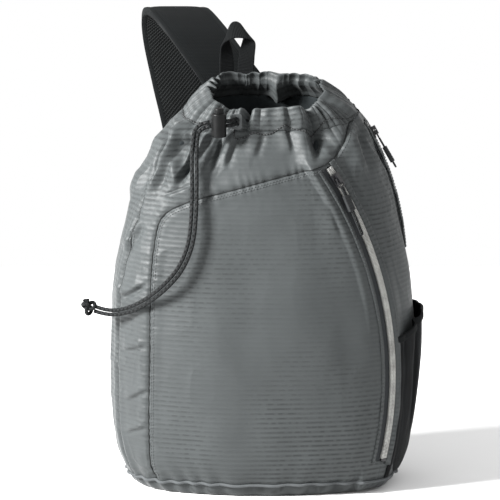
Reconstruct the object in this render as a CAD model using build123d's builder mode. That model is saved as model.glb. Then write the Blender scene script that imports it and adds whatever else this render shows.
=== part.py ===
from build123d import *
from math import sin, cos, tan, radians, pi
import os

# Drawstring sling pack: a stuffed fabric bag with a cinched mouth, two zippered pockets, a mesh
# bottle pocket, a grab loop and one padded sling strap.
# Millimetres, +Z up. The origin is the middle of the flat base, on the floor. The front of the
# bag faces -Y, and the wearer's back would be at +Y. Cloth walls are plain closed solids.

os.makedirs("parts", exist_ok=True)

# ---------------------------------------------------------------- driving dimensions
# body stations: height, half width, front depth, back depth
STATIONS = [
    (0, 138, 88, 80),
    (30, 156, 103, 90),
    (100, 166, 108, 99),
    (180, 165, 108, 103),
    (240, 162, 99, 101),
    (300, 148, 89, 98),
    (350, 131, 82, 88),
    (388, 112, 66, 78),
]
RIM_HALF_WIDTH = 84      # mouth band, outside
RIM_HALF_DEPTH = 55
RIM_X = 6                # the cinched mouth sits a little off centre
RIM_Y = 5
RIM_Z = 407              # bottom of the band at its middle
RIM_TILT = 9.3           # the front of the mouth is lower than the back
RIM_HEIGHT = 24
RIM_WALL = 10

WALL = 2.5               # outer cloth
POCKET_INSET = 5         # pocket bags hang inside the outer cloth
POCKET_PLY = 1.2
LINING_INSET = 9
LINING_PLY = 1.2

BASE_SEAM_Z = 14
BASE_PLATE = 3
PIPING_R = 2

CORD_R = 2.0
STRAND = 1.3               # from the middle of a pull cord to each of its strands
TUNNEL_R = 3.2

FRONT_ZIP_C = (-280.4, 130.3)     # centre of the front zipper's arc, X and Z
FRONT_ZIP_R = 422
FRONT_ZIP_Y = -72
FRONT_ZIP_TILT = 38               # band leans from -Y towards the side
FRONT_ZIP_SPAN = (-13.0, 33.6)    # degrees above +X
FRONT_SLIDER_AT = 31.4

SIDE_ZIP_C = (-162.6, 235.2)
SIDE_ZIP_R = 319
SIDE_ZIP_Y = 5
SIDE_ZIP_TILT = 90
SIDE_ZIP_SPAN = (5.0, 30.6)
SIDE_SLIDER_AT = 28.4

TAPE_HALF = 14
TAPE_T = 1.0
TEETH_HALF = 3.3
TEETH_T = 2.4
TEETH_GAP = 0.55         # half the parting between the two rows

SIDE_SEAM_Y = 45         # side panels run between y = -45 and y = 45
LEFT_SEAM_X = -121       # left edge of the front pocket panel

POCKET_TOP_Z = 178       # mesh pocket
POCKET_FLARE = 11

STRAP_T = 5.0            # foam
STRAP_FACE_T = 1.5
BINDING_W = 4.0

RIM_PLANE = Plane(origin=(RIM_X, RIM_Y, RIM_Z), x_dir=(1, 0, 0),
                  z_dir=(0, -sin(radians(RIM_TILT)), cos(radians(RIM_TILT))))


def finish(piece, name):
    """Label a piece and write it."""
    solid = piece.part if isinstance(piece, BuildPart) else piece
    solid.label = name
    export_step(solid, f"parts/{name}.step")


# ---------------------------------------------------------------- body skins
def slot_sketch(half_width, front, back, x_shift=0.0):
    """A stadium with straight front and back and round sides."""
    with Locations((x_shift, (back - front) / 2)):
        SlotOverall(2 * half_width, front + back)


def skin(inset, flare=0.0, low_z=0.0):
    """The closed body inside the cloth at a depth of inset; flare grows outwards with height."""
    with BuildPart() as body:
        for z, half_width, front, back in STATIONS:
            height = max(z, low_z)
            out = flare * min(height / POCKET_TOP_Z, 1.0) - inset
            with BuildSketch(Plane.XY.offset(height)):
                slot_sketch(half_width + out, front + out, back + out)
        rim_out = flare - inset
        with BuildSketch(RIM_PLANE):
            SlotOverall(2 * (RIM_HALF_WIDTH + rim_out), 2 * (RIM_HALF_DEPTH + rim_out))
        loft()
    return body.part


outer_skin = skin(0)
inner_skin = skin(WALL)
wall = outer_skin - inner_skin


def ring_sector(centre, radius, half, span, y_from, y_to):
    """A flat arc band in the XZ plane, pushed through the wall along Y."""
    with BuildPart() as band:
        with BuildSketch(Plane.XZ.offset(-y_from)):
            with BuildLine():
                inner = CenterArc(centre, radius - half, span[0], span[1] - span[0])
                outer = CenterArc(centre, radius + half, span[0], span[1] - span[0])
                Line(inner @ 0, outer @ 0)
                Line(inner @ 1, outer @ 1)
            make_face()
        extrude(amount=y_from - y_to)
    return band.part


FRONT_GAP_HALF = TAPE_HALF * cos(radians(FRONT_ZIP_TILT)) + 0.8
front_slot = ring_sector(FRONT_ZIP_C, FRONT_ZIP_R, FRONT_GAP_HALF,
                         (FRONT_ZIP_SPAN[0] - 0.3, FRONT_ZIP_SPAN[1] + 0.3), -25, -130)
side_slot = ring_sector(SIDE_ZIP_C, SIDE_ZIP_R, 14,
                        (SIDE_ZIP_SPAN[0] - 0.3, SIDE_ZIP_SPAN[1] + 0.3),
                        SIDE_ZIP_Y + TAPE_HALF + 0.3, SIDE_ZIP_Y - TAPE_HALF - 0.3)


def box(low, high):
    """A plain block between two corners."""
    size = [b - a for a, b in zip(low, high)]
    middle = [(a + b) / 2 for a, b in zip(low, high)]
    return Pos(*middle) * Box(*size)


above_seam = box((-250, -200, BASE_SEAM_Z + PIPING_R + 0.2), (250, 200, 500))
upper_wall = (wall & above_seam) - front_slot - side_slot

# front pocket panel: left seam, rounded top corner, sloping top seam, then the zipper
with BuildPart() as front_region:
    zip_top = FRONT_ZIP_SPAN[1] + 0.3
    with BuildSketch(Plane.XZ.offset(20)):
        with BuildLine():
            right = CenterArc(FRONT_ZIP_C, FRONT_ZIP_R - 5, -16, zip_top + 16)
            side = Line((LEFT_SEAM_X, 10), (LEFT_SEAM_X, 240))
            corner = ThreePointArc(side @ 1, (-106, 302), (-63, 332))
            Line(corner @ 1, right @ 1)
            Line(side @ 0, right @ 0)
        make_face()
    extrude(amount=130)

front_wall = upper_wall & front_region.part
rest = upper_wall - front_region.part
back_region = box((-250, SIDE_SEAM_Y, 0), (250, 200, 500))
back_wall = rest & back_region
rest = rest - back_region

# the right side panel lies outside the front zipper and below the seam that climbs to the band
with BuildPart() as right_region:
    with BuildSketch(Plane.XZ.offset(-SIDE_SEAM_Y)):
        with BuildLine():
            Polyline((73, 366), (90, 392), (104, 440), (250, 440), (250, 0), (96, 0), (96, 30),
                     (73, 366))
        make_face()
    extrude(amount=200)
right_wall = rest & right_region.part
rest = rest - right_region.part
left_region = box((-250, -SIDE_SEAM_Y, 0), (0, SIDE_SEAM_Y, 500))
left_wall = rest & left_region
yoke_wall = rest - left_region


def largest(shape):
    """Keep the real panel and drop crumbs left by a cut."""
    return shape.solids().sort_by(SortBy.VOLUME)[-1]


finish(largest(front_wall), "front_panel")
finish(largest(yoke_wall), "yoke_panel")
finish(largest(left_wall), "left_side_panel")
finish(largest(right_wall), "right_side_panel")
finish(largest(back_wall), "back_panel")


# ---------------------------------------------------------------- base, lining, pocket bags, pad
def half_sizes(z):
    """Half width, front and back depth of the body at a height."""
    for low, high in zip(STATIONS, STATIONS[1:]):
        if low[0] <= z <= high[0]:
            part = (z - low[0]) / (high[0] - low[0])
            return [a + (b - a) * part for a, b in zip(low[1:], high[1:])]
    return STATIONS[-1][1:]


def tube_on(wire, radius):
    """A round tube along a wire."""
    with BuildPart() as tube:
        with BuildSketch(Plane(origin=wire @ 0, z_dir=wire % 0)):
            Circle(radius)
        sweep(path=wire)
    return tube.part


base_ring = largest(wall & box((-250, -200, 0), (250, 200, BASE_SEAM_Z - PIPING_R - 0.2)))
with BuildPart() as base_floor:
    with BuildSketch():
        slot_sketch(STATIONS[0][1] - 1, STATIONS[0][2] - 1, STATIONS[0][3] - 1)
    extrude(amount=BASE_PLATE)
finish(base_ring + base_floor.part, "base_panel")

with BuildSketch(Plane.XY.offset(BASE_SEAM_Z)) as piping_line:
    half_width, front, back = half_sizes(BASE_SEAM_Z)
    slot_sketch(half_width + 0.6, front + 0.6, back + 0.6)
finish(tube_on(piping_line.sketch.face().outer_wire(), PIPING_R), "base_piping")

lining_floor = BASE_PLATE + 1
lining_outer = skin(LINING_INSET, low_z=lining_floor)
lining_inner = skin(LINING_INSET + LINING_PLY, low_z=lining_floor + LINING_PLY)
finish(largest(lining_outer - lining_inner), "main_lining")

pocket_shell = skin(POCKET_INSET) - skin(POCKET_INSET + POCKET_PLY)
with BuildPart() as front_pocket_region:
    with BuildSketch(Plane.XZ.offset(20)):
        with BuildLine():
            right = CenterArc(FRONT_ZIP_C, FRONT_ZIP_R - FRONT_GAP_HALF - 2, -11.5, 44)
            side = Line((LEFT_SEAM_X + 4, 24), (LEFT_SEAM_X + 4, 240))
            corner = ThreePointArc(side @ 1, (-101, 299), (-60, 327))
            Line(corner @ 1, right @ 1)
            Line(side @ 0, right @ 0)
        make_face()
    extrude(amount=130)
finish(largest(pocket_shell & front_pocket_region.part), "front_pocket_bag")
side_pocket_region = box((90, -60, 150), (250, SIDE_ZIP_Y - TAPE_HALF - 2, 385))
finish(largest(pocket_shell & side_pocket_region), "side_pocket_bag")

with BuildPart() as pad_region:
    with BuildSketch(Plane.XZ.offset(-55)):
        with Locations((0, 200)):
            RectangleRounded(190, 330, 30)
    extrude(amount=-80)
pad = (skin(WALL + 0.2) - skin(LINING_INSET - 0.2)) & pad_region.part
finish(largest(pad), "back_foam_pad")

# ---------------------------------------------------------------- cinched mouth band and cord
BAND_MID = RIM_PLANE.offset(RIM_HEIGHT / 2)
EYELET_X = -28           # where the cord comes out of the band
with BuildSketch(BAND_MID) as cord_line:
    SlotOverall(2 * RIM_HALF_WIDTH - RIM_WALL, 2 * RIM_HALF_DEPTH - RIM_WALL)
band_wire = cord_line.sketch.face().outer_wire()
CORD_Z = band_wire.bounding_box().min.Z
BAND_FRONT_Y = -52
EYELET_HALF_X = 3.2
EYELET_HALF_Z = 5.4
eyelet_cut = box((EYELET_X - EYELET_HALF_X, -70, CORD_Z - EYELET_HALF_Z),
                 (EYELET_X + EYELET_HALF_X, -45, CORD_Z + EYELET_HALF_Z))

with BuildPart() as band:
    with BuildSketch(RIM_PLANE):
        SlotOverall(2 * RIM_HALF_WIDTH, 2 * RIM_HALF_DEPTH)
        SlotOverall(2 * (RIM_HALF_WIDTH - RIM_WALL), 2 * (RIM_HALF_DEPTH - RIM_WALL),
                    mode=Mode.SUBTRACT)
    extrude(amount=RIM_HEIGHT)
finish(band.part - tube_on(band_wire, TUNNEL_R) - eyelet_cut, "drawcord_channel")
cord_gap = box((EYELET_X - 24, -70, CORD_Z - 20), (EYELET_X + 6, -20, CORD_Z + 20))
finish(largest(tube_on(band_wire, CORD_R) - cord_gap), "drawcord_loop")

with BuildPart() as buttonhole:
    with BuildSketch(Plane.XZ.offset(-BAND_FRONT_Y + 1.5)):
        with Locations((EYELET_X, CORD_Z)):
            RectangleRounded(12, 17, 2.5)
            SlotOverall(11, 6.6, rotation=90, mode=Mode.SUBTRACT)
    extrude(amount=1)
finish(buttonhole, "cord_buttonhole")

# two loose strands: out of the band, through the cord lock, down the front to the end knot
LOCK_X = -47
LOCK_Y = -66
SPLIT = 2.3              # half the distance between the strands
TAIL = [
    (EYELET_X, -46, CORD_Z), (EYELET_X, LOCK_Y, CORD_Z), (-71, LOCK_Y, CORD_Z),
    (-74, -73, 384), (-73.5, -86, 350), (-74, -93.5, 316), (-77, -99, 284),
    (-88, -102, 257), (-106, -101, 236), (-127, -89, 217), (-149, -72, 203),
    (-170, -61, 199), (-183, -57, 203),
]
# which way the first strand lies from the middle of the pair at each point
ASIDE = [
    (0, 0, 1), (0, 0, 1), (-0.6, 0, 0.9), (-1, 0, 0.1), (-1, 0, 0), (-1, 0, 0), (-1, 0, 0.15),
    (-0.86, 0, 0.52), (-0.71, 0, 0.71), (-0.61, 0, 0.79), (-0.39, 0, 0.92), (0, 0, 1),
    (0.25, 0, 1),
]


def strand(side, name):
    """A cord along straight runs joined by the largest arcs that they allow."""
    points = [tuple(p + side * SPLIT * d for p, d in zip(point, aside))
              for point, aside in zip(TAIL, ASIDE)]
    radii = []
    for before, here, after in zip(points, points[1:], points[2:]):
        run_in = Vector(*here) - Vector(*before)
        run_out = Vector(*after) - Vector(*here)
        half_turn = radians(run_in.get_angle(run_out)) / 2
        radii.append(0.45 * min(run_in.length, run_out.length) / tan(half_turn))
    with BuildLine() as route:
        FilletPolyline(*points, radius=radii)
    wire = route.wires()[0]
    tube = tube_on(wire, CORD_R)
    print(name, "length", round(wire.length, 1), "radii", [round(r, 1) for r in radii],
          "volume ratio", round(tube.volume / (wire.length * pi * CORD_R**2), 3))
    print([tuple(round(v, 1) for v in point) for point in points])
    finish(tube, name)


strand(1, "drawcord_tail_outer")
strand(-1, "drawcord_tail_inner")

# overhand knot: a lumpy ball with two cut stubs
KNOT = Vector(-190, -56, 205)
with BuildPart() as knot:
    with Locations(KNOT):
        Sphere(6.2)
    with Locations(KNOT + Vector(-1, -1, 3.5)):
        Sphere(5)
    with Locations(KNOT + Vector(-3, 1, 9)):
        Cylinder(CORD_R, 10, rotation=(0, -35, 0))
    with Locations(KNOT + Vector(-6, -3, 6)):
        Cylinder(CORD_R, 10, rotation=(20, -50, 0))
finish(knot, "cord_knot")

# ---------------------------------------------------------------- cord lock
LOCK_R = 8.25
BORE_R = 5.6
LOCK_LOW = CORD_Z - 14.5
LOCK_HIGH = CORD_Z + 11.5
LOCK_FLOOR = 1.5
PRESS = 3.5              # plunger travel
HOLE_HALF_Y = 2.5
HOLE_HALF_Z = SPLIT + CORD_R + 0.3

with BuildPart() as barrel:
    with BuildSketch(Plane.XY.offset(LOCK_LOW)):
        with Locations((LOCK_X, LOCK_Y)):
            Circle(LOCK_R)
    extrude(amount=LOCK_HIGH - LOCK_LOW)
    fillet(barrel.edges().filter_by(GeomType.CIRCLE), 1.4)
    with BuildSketch(Plane.XY.offset(LOCK_LOW + LOCK_FLOOR)):
        with Locations((LOCK_X, LOCK_Y)):
            Circle(BORE_R)
    extrude(amount=40, mode=Mode.SUBTRACT)
    with Locations((LOCK_X, LOCK_Y, CORD_Z)):
        Box(40, 2 * HOLE_HALF_Y, 2 * HOLE_HALF_Z, mode=Mode.SUBTRACT)
finish(barrel, "cord_lock_barrel")

PLUNGER_LOW = CORD_Z - HOLE_HALF_Z - 2.4
with BuildPart() as plunger:
    with BuildSketch(Plane.XY.offset(PLUNGER_LOW)):
        with Locations((LOCK_X, LOCK_Y)):
            Circle(BORE_R - 0.3)
    extrude(amount=LOCK_HIGH + 6 - PLUNGER_LOW)
    fillet(plunger.edges().group_by(Axis.Z)[-1], 1.5)
    with Locations((LOCK_X, LOCK_Y, CORD_Z + PRESS / 2)):
        Box(40, 2 * HOLE_HALF_Y, 2 * HOLE_HALF_Z + PRESS, mode=Mode.SUBTRACT)
finish(plunger, "cord_lock_plunger")

SPRING_LOW = LOCK_LOW + LOCK_FLOOR
SPRING_R = 3.9
SPRING_WIRE_R = 0.35
spring_height = PLUNGER_LOW - SPRING_LOW - 2 * SPRING_WIRE_R - 0.1
with BuildPart() as spring:
    with BuildLine():
        coil = Helix(spring_height / 4, spring_height, SPRING_R,
                     center=(LOCK_X, LOCK_Y, SPRING_LOW + SPRING_WIRE_R + 0.05))
    with BuildSketch(Plane(origin=coil @ 0, z_dir=coil % 0)):
        Circle(SPRING_WIRE_R)
    sweep(is_frenet=True)
finish(spring, "cord_lock_spring")


# ---------------------------------------------------------------- zippers
def on_arc(centre, radius, y, angle):
    """Point and radial direction on a zipper's arc."""
    out = Vector(cos(radians(angle)), 0, sin(radians(angle)))
    return Vector(centre[0], y, centre[1]) + out * radius, out


def zip_band(zipper, across, height, span):
    """A strip of the zipper: across and height are (from, to) in the tilted band."""
    start, out = on_arc(zipper["centre"], zipper["radius"], zipper["y"], span[0])
    up_arc = Vector(-out.Z, 0, out.X)
    tilt = zipper["tilt"]
    section_plane = Plane(origin=start, x_dir=out, z_dir=up_arc)
    middle = sum(across) / 2
    rise = sum(height) / 2
    lean = radians(tilt)
    place = (middle * cos(lean) + rise * sin(lean), middle * sin(lean) - rise * cos(lean))
    with BuildPart() as strip:
        with BuildSketch(section_plane):
            with Locations(place):
                Rectangle(across[1] - across[0], height[1] - height[0], rotation=tilt)
        axis = Axis((zipper["centre"][0], 0, zipper["centre"][1]), (0, -1, 0))
        revolve(axis=axis, revolution_arc=span[1] - span[0])
    return strip.part


def slider_plane(zipper):
    """x across the band, y outwards, z down the zipper, at the slider's middle."""
    point, out = on_arc(zipper["centre"], zipper["radius"], zipper["y"], zipper["slider_at"])
    lean = radians(zipper["tilt"])
    across = out * cos(lean) + Vector(0, sin(lean), 0)
    return Plane(origin=point, x_dir=across, z_dir=Vector(out.Z, 0, -out.X))


SLIDER_HALF = 7
BRIDGE_Y = 6.4           # height of the pull's pivot above the tape


def zipper_parts(zipper, name, first, second):
    """Tapes, teeth, stops and slider of one zipper."""
    low, high = zipper["span"]
    tape = (-TAPE_T / 2, TAPE_T / 2)
    teeth = (TAPE_T / 2, TAPE_T / 2 + TEETH_T)
    for side, label in ((-1, first), (1, second)):
        tape_across = sorted((side * TEETH_GAP, side * TAPE_HALF))
        teeth_across = sorted((side * TEETH_GAP, side * TEETH_HALF))
        finish(zip_band(zipper, tape_across, tape, (low, high)), f"{name}_tape_{label}")
        finish(zip_band(zipper, teeth_across, teeth, (low + 0.5, high - 0.5)),
               f"{name}_teeth_{label}")
    bottom = zip_band(zipper, (-TEETH_HALF, TEETH_HALF), (0.5, 3.4), (low + 0.1, low + 0.5))
    finish(bottom, f"{name}_bottom_stop")
    top_pieces = [zip_band(zipper, sorted((side * 0.8, side * 3.0)), (0.5, 3.2),
                           (high - 0.5, high - 0.15)) for side in (-1, 1)]
    finish(Compound(children=[piece.solids()[0] for piece in top_pieces]), f"{name}_top_stops")

    plane = slider_plane(zipper)
    top = TAPE_T / 2 + TEETH_T
    with BuildPart() as slider:
        with BuildSketch(plane.offset(-SLIDER_HALF)):
            with Locations((0, top + 1)):
                Rectangle(10.4, 1.3)
            for side in (-1, 1):
                with Locations((side * 4.6, (top + 1.8) / 2)):
                    Rectangle(1.2, top - 0.4)
            with Locations((0, top / 2)):
                Rectangle(0.5, top + 2.6)
            with Locations((0, -1.6)):
                Rectangle(10.4, 1.3)
        extrude(amount=2 * SLIDER_HALF)
        fillet(slider.edges().filter_by(lambda e: abs(e.length - 1.3) < 0.01), 2.5)
        with BuildSketch(Plane(origin=plane.origin, x_dir=plane.z_dir, z_dir=plane.x_dir).offset(-1.5)):
            with Locations((0, -(top + 3.4))):
                Rectangle(10, 5.2)
            with Locations((0, -BRIDGE_Y)):
                Circle(1.35, mode=Mode.SUBTRACT)
        extrude(amount=3)
    finish(slider, f"{name}_slider")


def pull_parts(zipper, name, lean, cord_to, grip_to, tip_at):
    """The swinging pull: wire tab, doubled cord with a loop end, and a ribbed grip."""
    plane = slider_plane(zipper)
    pivot = plane.origin + plane.y_dir * BRIDGE_Y
    down = (plane.z_dir + plane.x_dir * lean[0] + plane.y_dir * lean[1]).normalized()
    outward = (plane.y_dir - down * plane.y_dir.dot(down)).normalized()
    local = Plane(origin=pivot, x_dir=down.cross(outward), z_dir=outward)
    with BuildPart() as tab:
        with BuildSketch(local.offset(-0.7)):
            with Locations((0, 4.6)):
                RectangleRounded(8.4, 10.8, 1.3)
                RectangleRounded(5.6, 8.0, 0.6, mode=Mode.SUBTRACT)
        extrude(amount=1.4)
    finish(tab, f"{name}_pull_tab")
    cord_r = 1.0
    with BuildPart() as cord:
        for x in (-STRAND, STRAND):
            with BuildSketch(Plane(origin=local.from_local_coords((x, cord_to[0], 0)),
                                   z_dir=local.y_dir)):
                Circle(cord_r)
            extrude(amount=cord_to[1] - cord_to[0])
        with BuildSketch(Plane(origin=local.from_local_coords((-STRAND, grip_to, 0)),
                               z_dir=local.y_dir)):
            Circle(cord_r)
        with BuildLine(local) as end_loop:
            Polyline((-STRAND, grip_to), (-STRAND, tip_at - STRAND))
            ThreePointArc((-STRAND, tip_at - STRAND), (0, tip_at), (STRAND, tip_at - STRAND))
            Polyline((STRAND, tip_at - STRAND), (STRAND, grip_to))
        sweep(path=end_loop.wires()[0])
    finish(cord, f"{name}_pull_cord")
    with BuildPart() as grip:
        length = grip_to - cord_to[1]
        with BuildSketch(Plane(origin=local.from_local_coords((0, cord_to[1], 0)),
                               x_dir=local.x_dir, z_dir=local.y_dir)):
            RectangleRounded(8.6, 5.0, 2.0)
        extrude(amount=length)
        for step in range(1, 6):
            with BuildSketch(local.offset(1.9)):
                with Locations((0, cord_to[1] + length * step / 6)):
                    Rectangle(7, 0.9)
            extrude(amount=2, mode=Mode.SUBTRACT)
    finish(grip, f"{name}_pull_grip")
    print(name, "pivot", pivot, "axis", local.x_dir, "down", down)


front_zip = {"centre": FRONT_ZIP_C, "radius": FRONT_ZIP_R, "y": FRONT_ZIP_Y,
             "tilt": FRONT_ZIP_TILT, "span": FRONT_ZIP_SPAN, "slider_at": FRONT_SLIDER_AT}
side_zip = {"centre": SIDE_ZIP_C, "radius": SIDE_ZIP_R, "y": SIDE_ZIP_Y,
            "tilt": SIDE_ZIP_TILT, "span": SIDE_ZIP_SPAN, "slider_at": SIDE_SLIDER_AT}
zipper_parts(front_zip, "front_zip", "inner", "outer")
zipper_parts(side_zip, "side_zip", "front", "rear")
pull_parts(front_zip, "front_zip", (-0.2, 0.02), (10.2, 20), 38, 66)
pull_parts(side_zip, "side_zip", (0, 0.02), (10.2, 22), 40, 47)

# ---------------------------------------------------------------- mesh bottle pocket
mesh_outer = skin(-1.3, flare=POCKET_FLARE)
mesh_inner = skin(-0.1, flare=POCKET_FLARE)


def pocket_region(edge, low, top_angle, corner):
    """Right of the front zipper by edge, ahead of the back seam by edge, up to a slanted line."""
    with BuildPart() as region:
        with BuildSketch(Plane.XZ.offset(-(SIDE_SEAM_Y - edge))):
            with BuildLine():
                arc = CenterArc(FRONT_ZIP_C, FRONT_ZIP_R + FRONT_GAP_HALF + edge, -14.5,
                                top_angle + 14.5)
                Polyline(arc @ 1, corner, (250, low), (arc @ 0 + Vector(0, low - (arc @ 0).Y)), arc @ 0)
            make_face()
        extrude(amount=180)
    return region.part


BINDING_H = 8            # measured straight up
POCKET_FRONT_Z = 142     # the top edge climbs towards the back, from this height at x = 100
POCKET_BACK_Z = 232      # to this height at x = 250
full = (mesh_outer - outer_skin) & pocket_region(1, BASE_SEAM_Z + 4, 5.5, (250, POCKET_BACK_Z))
hollow = mesh_inner & pocket_region(4, BASE_SEAM_Z + 6, 20, (250, 320))
with BuildPart() as binding_region:
    with BuildSketch(Plane.XZ.offset(-60)):
        with BuildLine():
            Polyline((100, POCKET_FRONT_Z - BINDING_H), (250, POCKET_BACK_Z - BINDING_H),
                     (250, 300), (100, 300), close=True)
        make_face()
    extrude(amount=250)
pocket = full - hollow
finish(largest(pocket - binding_region.part), "mesh_pocket")
finish(largest(pocket & binding_region.part), "mesh_pocket_binding")

# ---------------------------------------------------------------- grab loop
LOOP_Y = 80
with BuildPart() as grab_loop:
    with BuildSketch(Plane.XZ.offset(-LOOP_Y - 1.5)):
        with BuildLine():
            Polyline((-47, 409), (-47, 474), (-40, 490), (-30, 496), (-24, 494), (-9, 474),
                     (-10, 409), (-28, 409), (-28, 478), (-32.6, 478), (-32.6, 409), (-47, 409))
        make_face()
    extrude(amount=3)
finish(grab_loop, "grab_loop")

# ---------------------------------------------------------------- sling strap
# centre and half width of the padded strap, from the top seam over and down the back
STRAP = [
    (-30, 100, 424, 36), (-40, 104, 438, 36), (-56, 112, 458, 35), (-75, 127, 481, 34.5),
    (-93, 149, 496, 33.5), (-102, 170, 487, 32), (-101, 182, 455, 31), (-92, 186, 405, 30),
    (-80, 185, 350, 30), (-71, 179, 280, 30), (-65, 165, 210, 28), (-62, 146, 150, 20),
]


def strap_section(index, low, high, left, right):
    """A flat rectangle across the strap; low and high are depths through its thickness."""
    x, y, z, half = STRAP[index]
    before = STRAP[max(index - 1, 0)]
    after = STRAP[min(index + 1, len(STRAP) - 1)]
    along = Vector(0, after[1] - before[1], after[2] - before[2])
    with BuildSketch(Plane(origin=(x, y, z), x_dir=(1, 0, 0), z_dir=along)) as section:
        with Locations(((left(half) + right(half)) / 2, (low + high) / 2)):
            Rectangle(right(half) - left(half), high - low)
    return section.sketch


def strap_layer(name, low, high, left, right):
    """One layer of the strap, station by station; left and right give its edges."""
    with BuildPart() as layer:
        for index in range(len(STRAP) - 1):
            loft(sections=[strap_section(index, low, high, left, right),
                           strap_section(index + 1, low, high, left, right)], ruled=True)
    finish(layer, name)


foam = STRAP_T / 2
face = foam + STRAP_FACE_T
strap_layer("strap_foam", -foam, foam, lambda h: -h + BINDING_W, lambda h: h - BINDING_W)
strap_layer("strap_cover", -face, -foam, lambda h: -h + BINDING_W, lambda h: h - BINDING_W)
strap_layer("strap_mesh_lining", foam, face, lambda h: -h + BINDING_W, lambda h: h - BINDING_W)
strap_layer("strap_binding_left", -face, face, lambda h: -h, lambda h: -h + BINDING_W)
strap_layer("strap_binding_right", -face, face, lambda h: h - BINDING_W, lambda h: h)


def side_profile(points, x_low, x_high, name):
    """A slab with a profile in the YZ plane."""
    with BuildPart() as slab:
        with BuildSketch(Plane.YZ.offset(x_low)):
            with BuildLine():
                Polyline(*points, close=True)
            make_face()
        extrude(amount=x_high - x_low)
    finish(slab, name)


side_profile([(76, 400), (80, 396), (99, 414), (95, 418)], -64, 6, "strap_anchor")
side_profile([(90, 26), (93, 23), (113, 38), (110, 41)], -75, -49, "strap_lower_anchor")

# ladder lock between the padded strap and the adjusting webbing
LADDER = Plane(origin=(-62, 132, 119), x_dir=(1, 0, 0), z_dir=(0, 0.92, -0.39))
with BuildPart() as ladder:
    with BuildSketch(LADDER.offset(-1.75)):
        RectangleRounded(33, 30, 3)
        with Locations((0, -8)):
            Rectangle(26.5, 6.4, mode=Mode.SUBTRACT)
        with Locations((0, 3)):
            Rectangle(26.5, 8, mode=Mode.SUBTRACT)
    extrude(amount=3.5)
finish(ladder, "ladder_lock")


def webbing(points, radius, name):
    """A bent strip of webbing, 25 mm wide, drawn along and out of the ladder lock."""
    strip_plane = Plane(origin=LADDER.origin, x_dir=LADDER.y_dir, z_dir=(1, 0, 0))
    flip = 1 if strip_plane.y_dir.dot(LADDER.z_dir) > 0 else -1
    with BuildPart() as strip:
        with BuildSketch(strip_plane):
            with BuildLine():
                FilletPolyline(*[(along, flip * out) for along, out in points], radius=radius)
            trace(line_width=1.6)
        extrude(amount=12.5, both=True)
    finish(strip, name)


webbing([(-32, 1.6), (-17, 3.4), (-8, 3.4), (-8, -3.4), (-17, -3.4), (-32, -1.6)], 1.5,
        "strap_end_webbing")
webbing([(78, -2.8), (3, -3.4), (3, 3.4), (58, 4.6)], 1.5, "adjuster_webbing")
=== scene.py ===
"""Looks of the drawstring sling pack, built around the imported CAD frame. Metres, +Z up."""
import math

import bpy
import numpy as np
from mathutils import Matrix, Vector


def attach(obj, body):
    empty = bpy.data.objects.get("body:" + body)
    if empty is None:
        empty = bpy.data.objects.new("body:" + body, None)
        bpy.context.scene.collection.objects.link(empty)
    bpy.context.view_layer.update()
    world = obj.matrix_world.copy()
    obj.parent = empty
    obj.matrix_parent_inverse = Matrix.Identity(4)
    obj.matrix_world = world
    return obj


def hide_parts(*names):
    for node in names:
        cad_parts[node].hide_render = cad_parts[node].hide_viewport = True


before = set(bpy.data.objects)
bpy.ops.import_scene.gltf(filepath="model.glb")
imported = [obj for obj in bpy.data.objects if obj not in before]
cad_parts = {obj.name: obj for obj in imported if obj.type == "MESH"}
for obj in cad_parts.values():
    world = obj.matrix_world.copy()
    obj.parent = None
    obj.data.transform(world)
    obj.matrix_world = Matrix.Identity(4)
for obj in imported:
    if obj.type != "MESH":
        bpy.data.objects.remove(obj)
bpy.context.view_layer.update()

MM = 0.001

# --- shape of the stuffed body, mm
# height, half width, centre in x, front depth, back depth
BODY = np.array([
    (0, 137, 0, 89, 80), (14, 148, 0, 96, 85), (34, 157, 0, 103, 91), (60, 162, 0, 106, 95),
    (107, 166, 0, 108, 99), (180, 165.5, 0, 108, 102), (240, 161, -0.5, 100, 101),
    (286, 150.5, 0, 93, 98), (321, 142.5, 0.8, 87.5, 94), (362, 126, 3, 77, 86),
    (385, 114.5, 5.5, 67, 79), (398, 104, 7, 59, 72), (409, 93, 8.5, 52, 64),
], float)
ROUNDNESS = 2.45
RIM_H = 409.0
RIM_Y = 5.0
RIM_TILT = math.radians(9.3)
RIM_SLOPE = math.tan(RIM_TILT)

ZIP_C = (-280.4, 130.3)
ZIP_R = 422.0
ZIP_Y = -72.0
ZIP_TILT = math.radians(38)
ZIP_SPAN = (-13.0, 33.6)
SIDE_C = (-162.6, 235.2)
SIDE_R = 319.0
SIDE_Y = 5.0
SIDE_SPAN = (5.0, 30.6)
SEAM_Y = 45.0
BASE_Z = 14.0
# the front zipper lies before this depth, the side zipper to the right of this x
FRONT_Y = -15.0
RIGHT_X = 60.0
SLOT_HALF = 5.2
WIDE_SLOT = 10.4


def hermite(p0, m0, p1, m1, t):
    """Cubic from p0 with slope m0 at t = 0 to p1 with slope m1 at t = 1."""
    return ((2 * t**3 - 3 * t**2 + 1) * p0 + (t**3 - 2 * t**2 + t) * m0
            + (-2 * t**3 + 3 * t**2) * p1 + (t**3 - t**2) * m1)


def smooth_rows(heights, column):
    """One BODY column at some heights, smooth between its rows."""
    zs, vs = BODY[:, 0], BODY[:, column]
    slopes = np.gradient(vs, zs)
    i = np.clip(np.searchsorted(zs, heights) - 1, 0, len(zs) - 2)
    step = zs[i + 1] - zs[i]
    t = np.clip((heights - zs[i]) / step, 0, 1)
    return hermite(vs[i], step * slopes[i], vs[i + 1], step * slopes[i + 1], t)


def stack(*parts):
    """Arrays of one shape, or numbers, side by side along a new last axis."""
    return np.stack(np.broadcast_arrays(*parts), -1)


def smoothstep(low, high, value):
    """0 below low, 1 above high, smooth between."""
    t = np.clip((value - low) / (high - low), 0, 1)
    return t * t * (3 - 2 * t)


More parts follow.
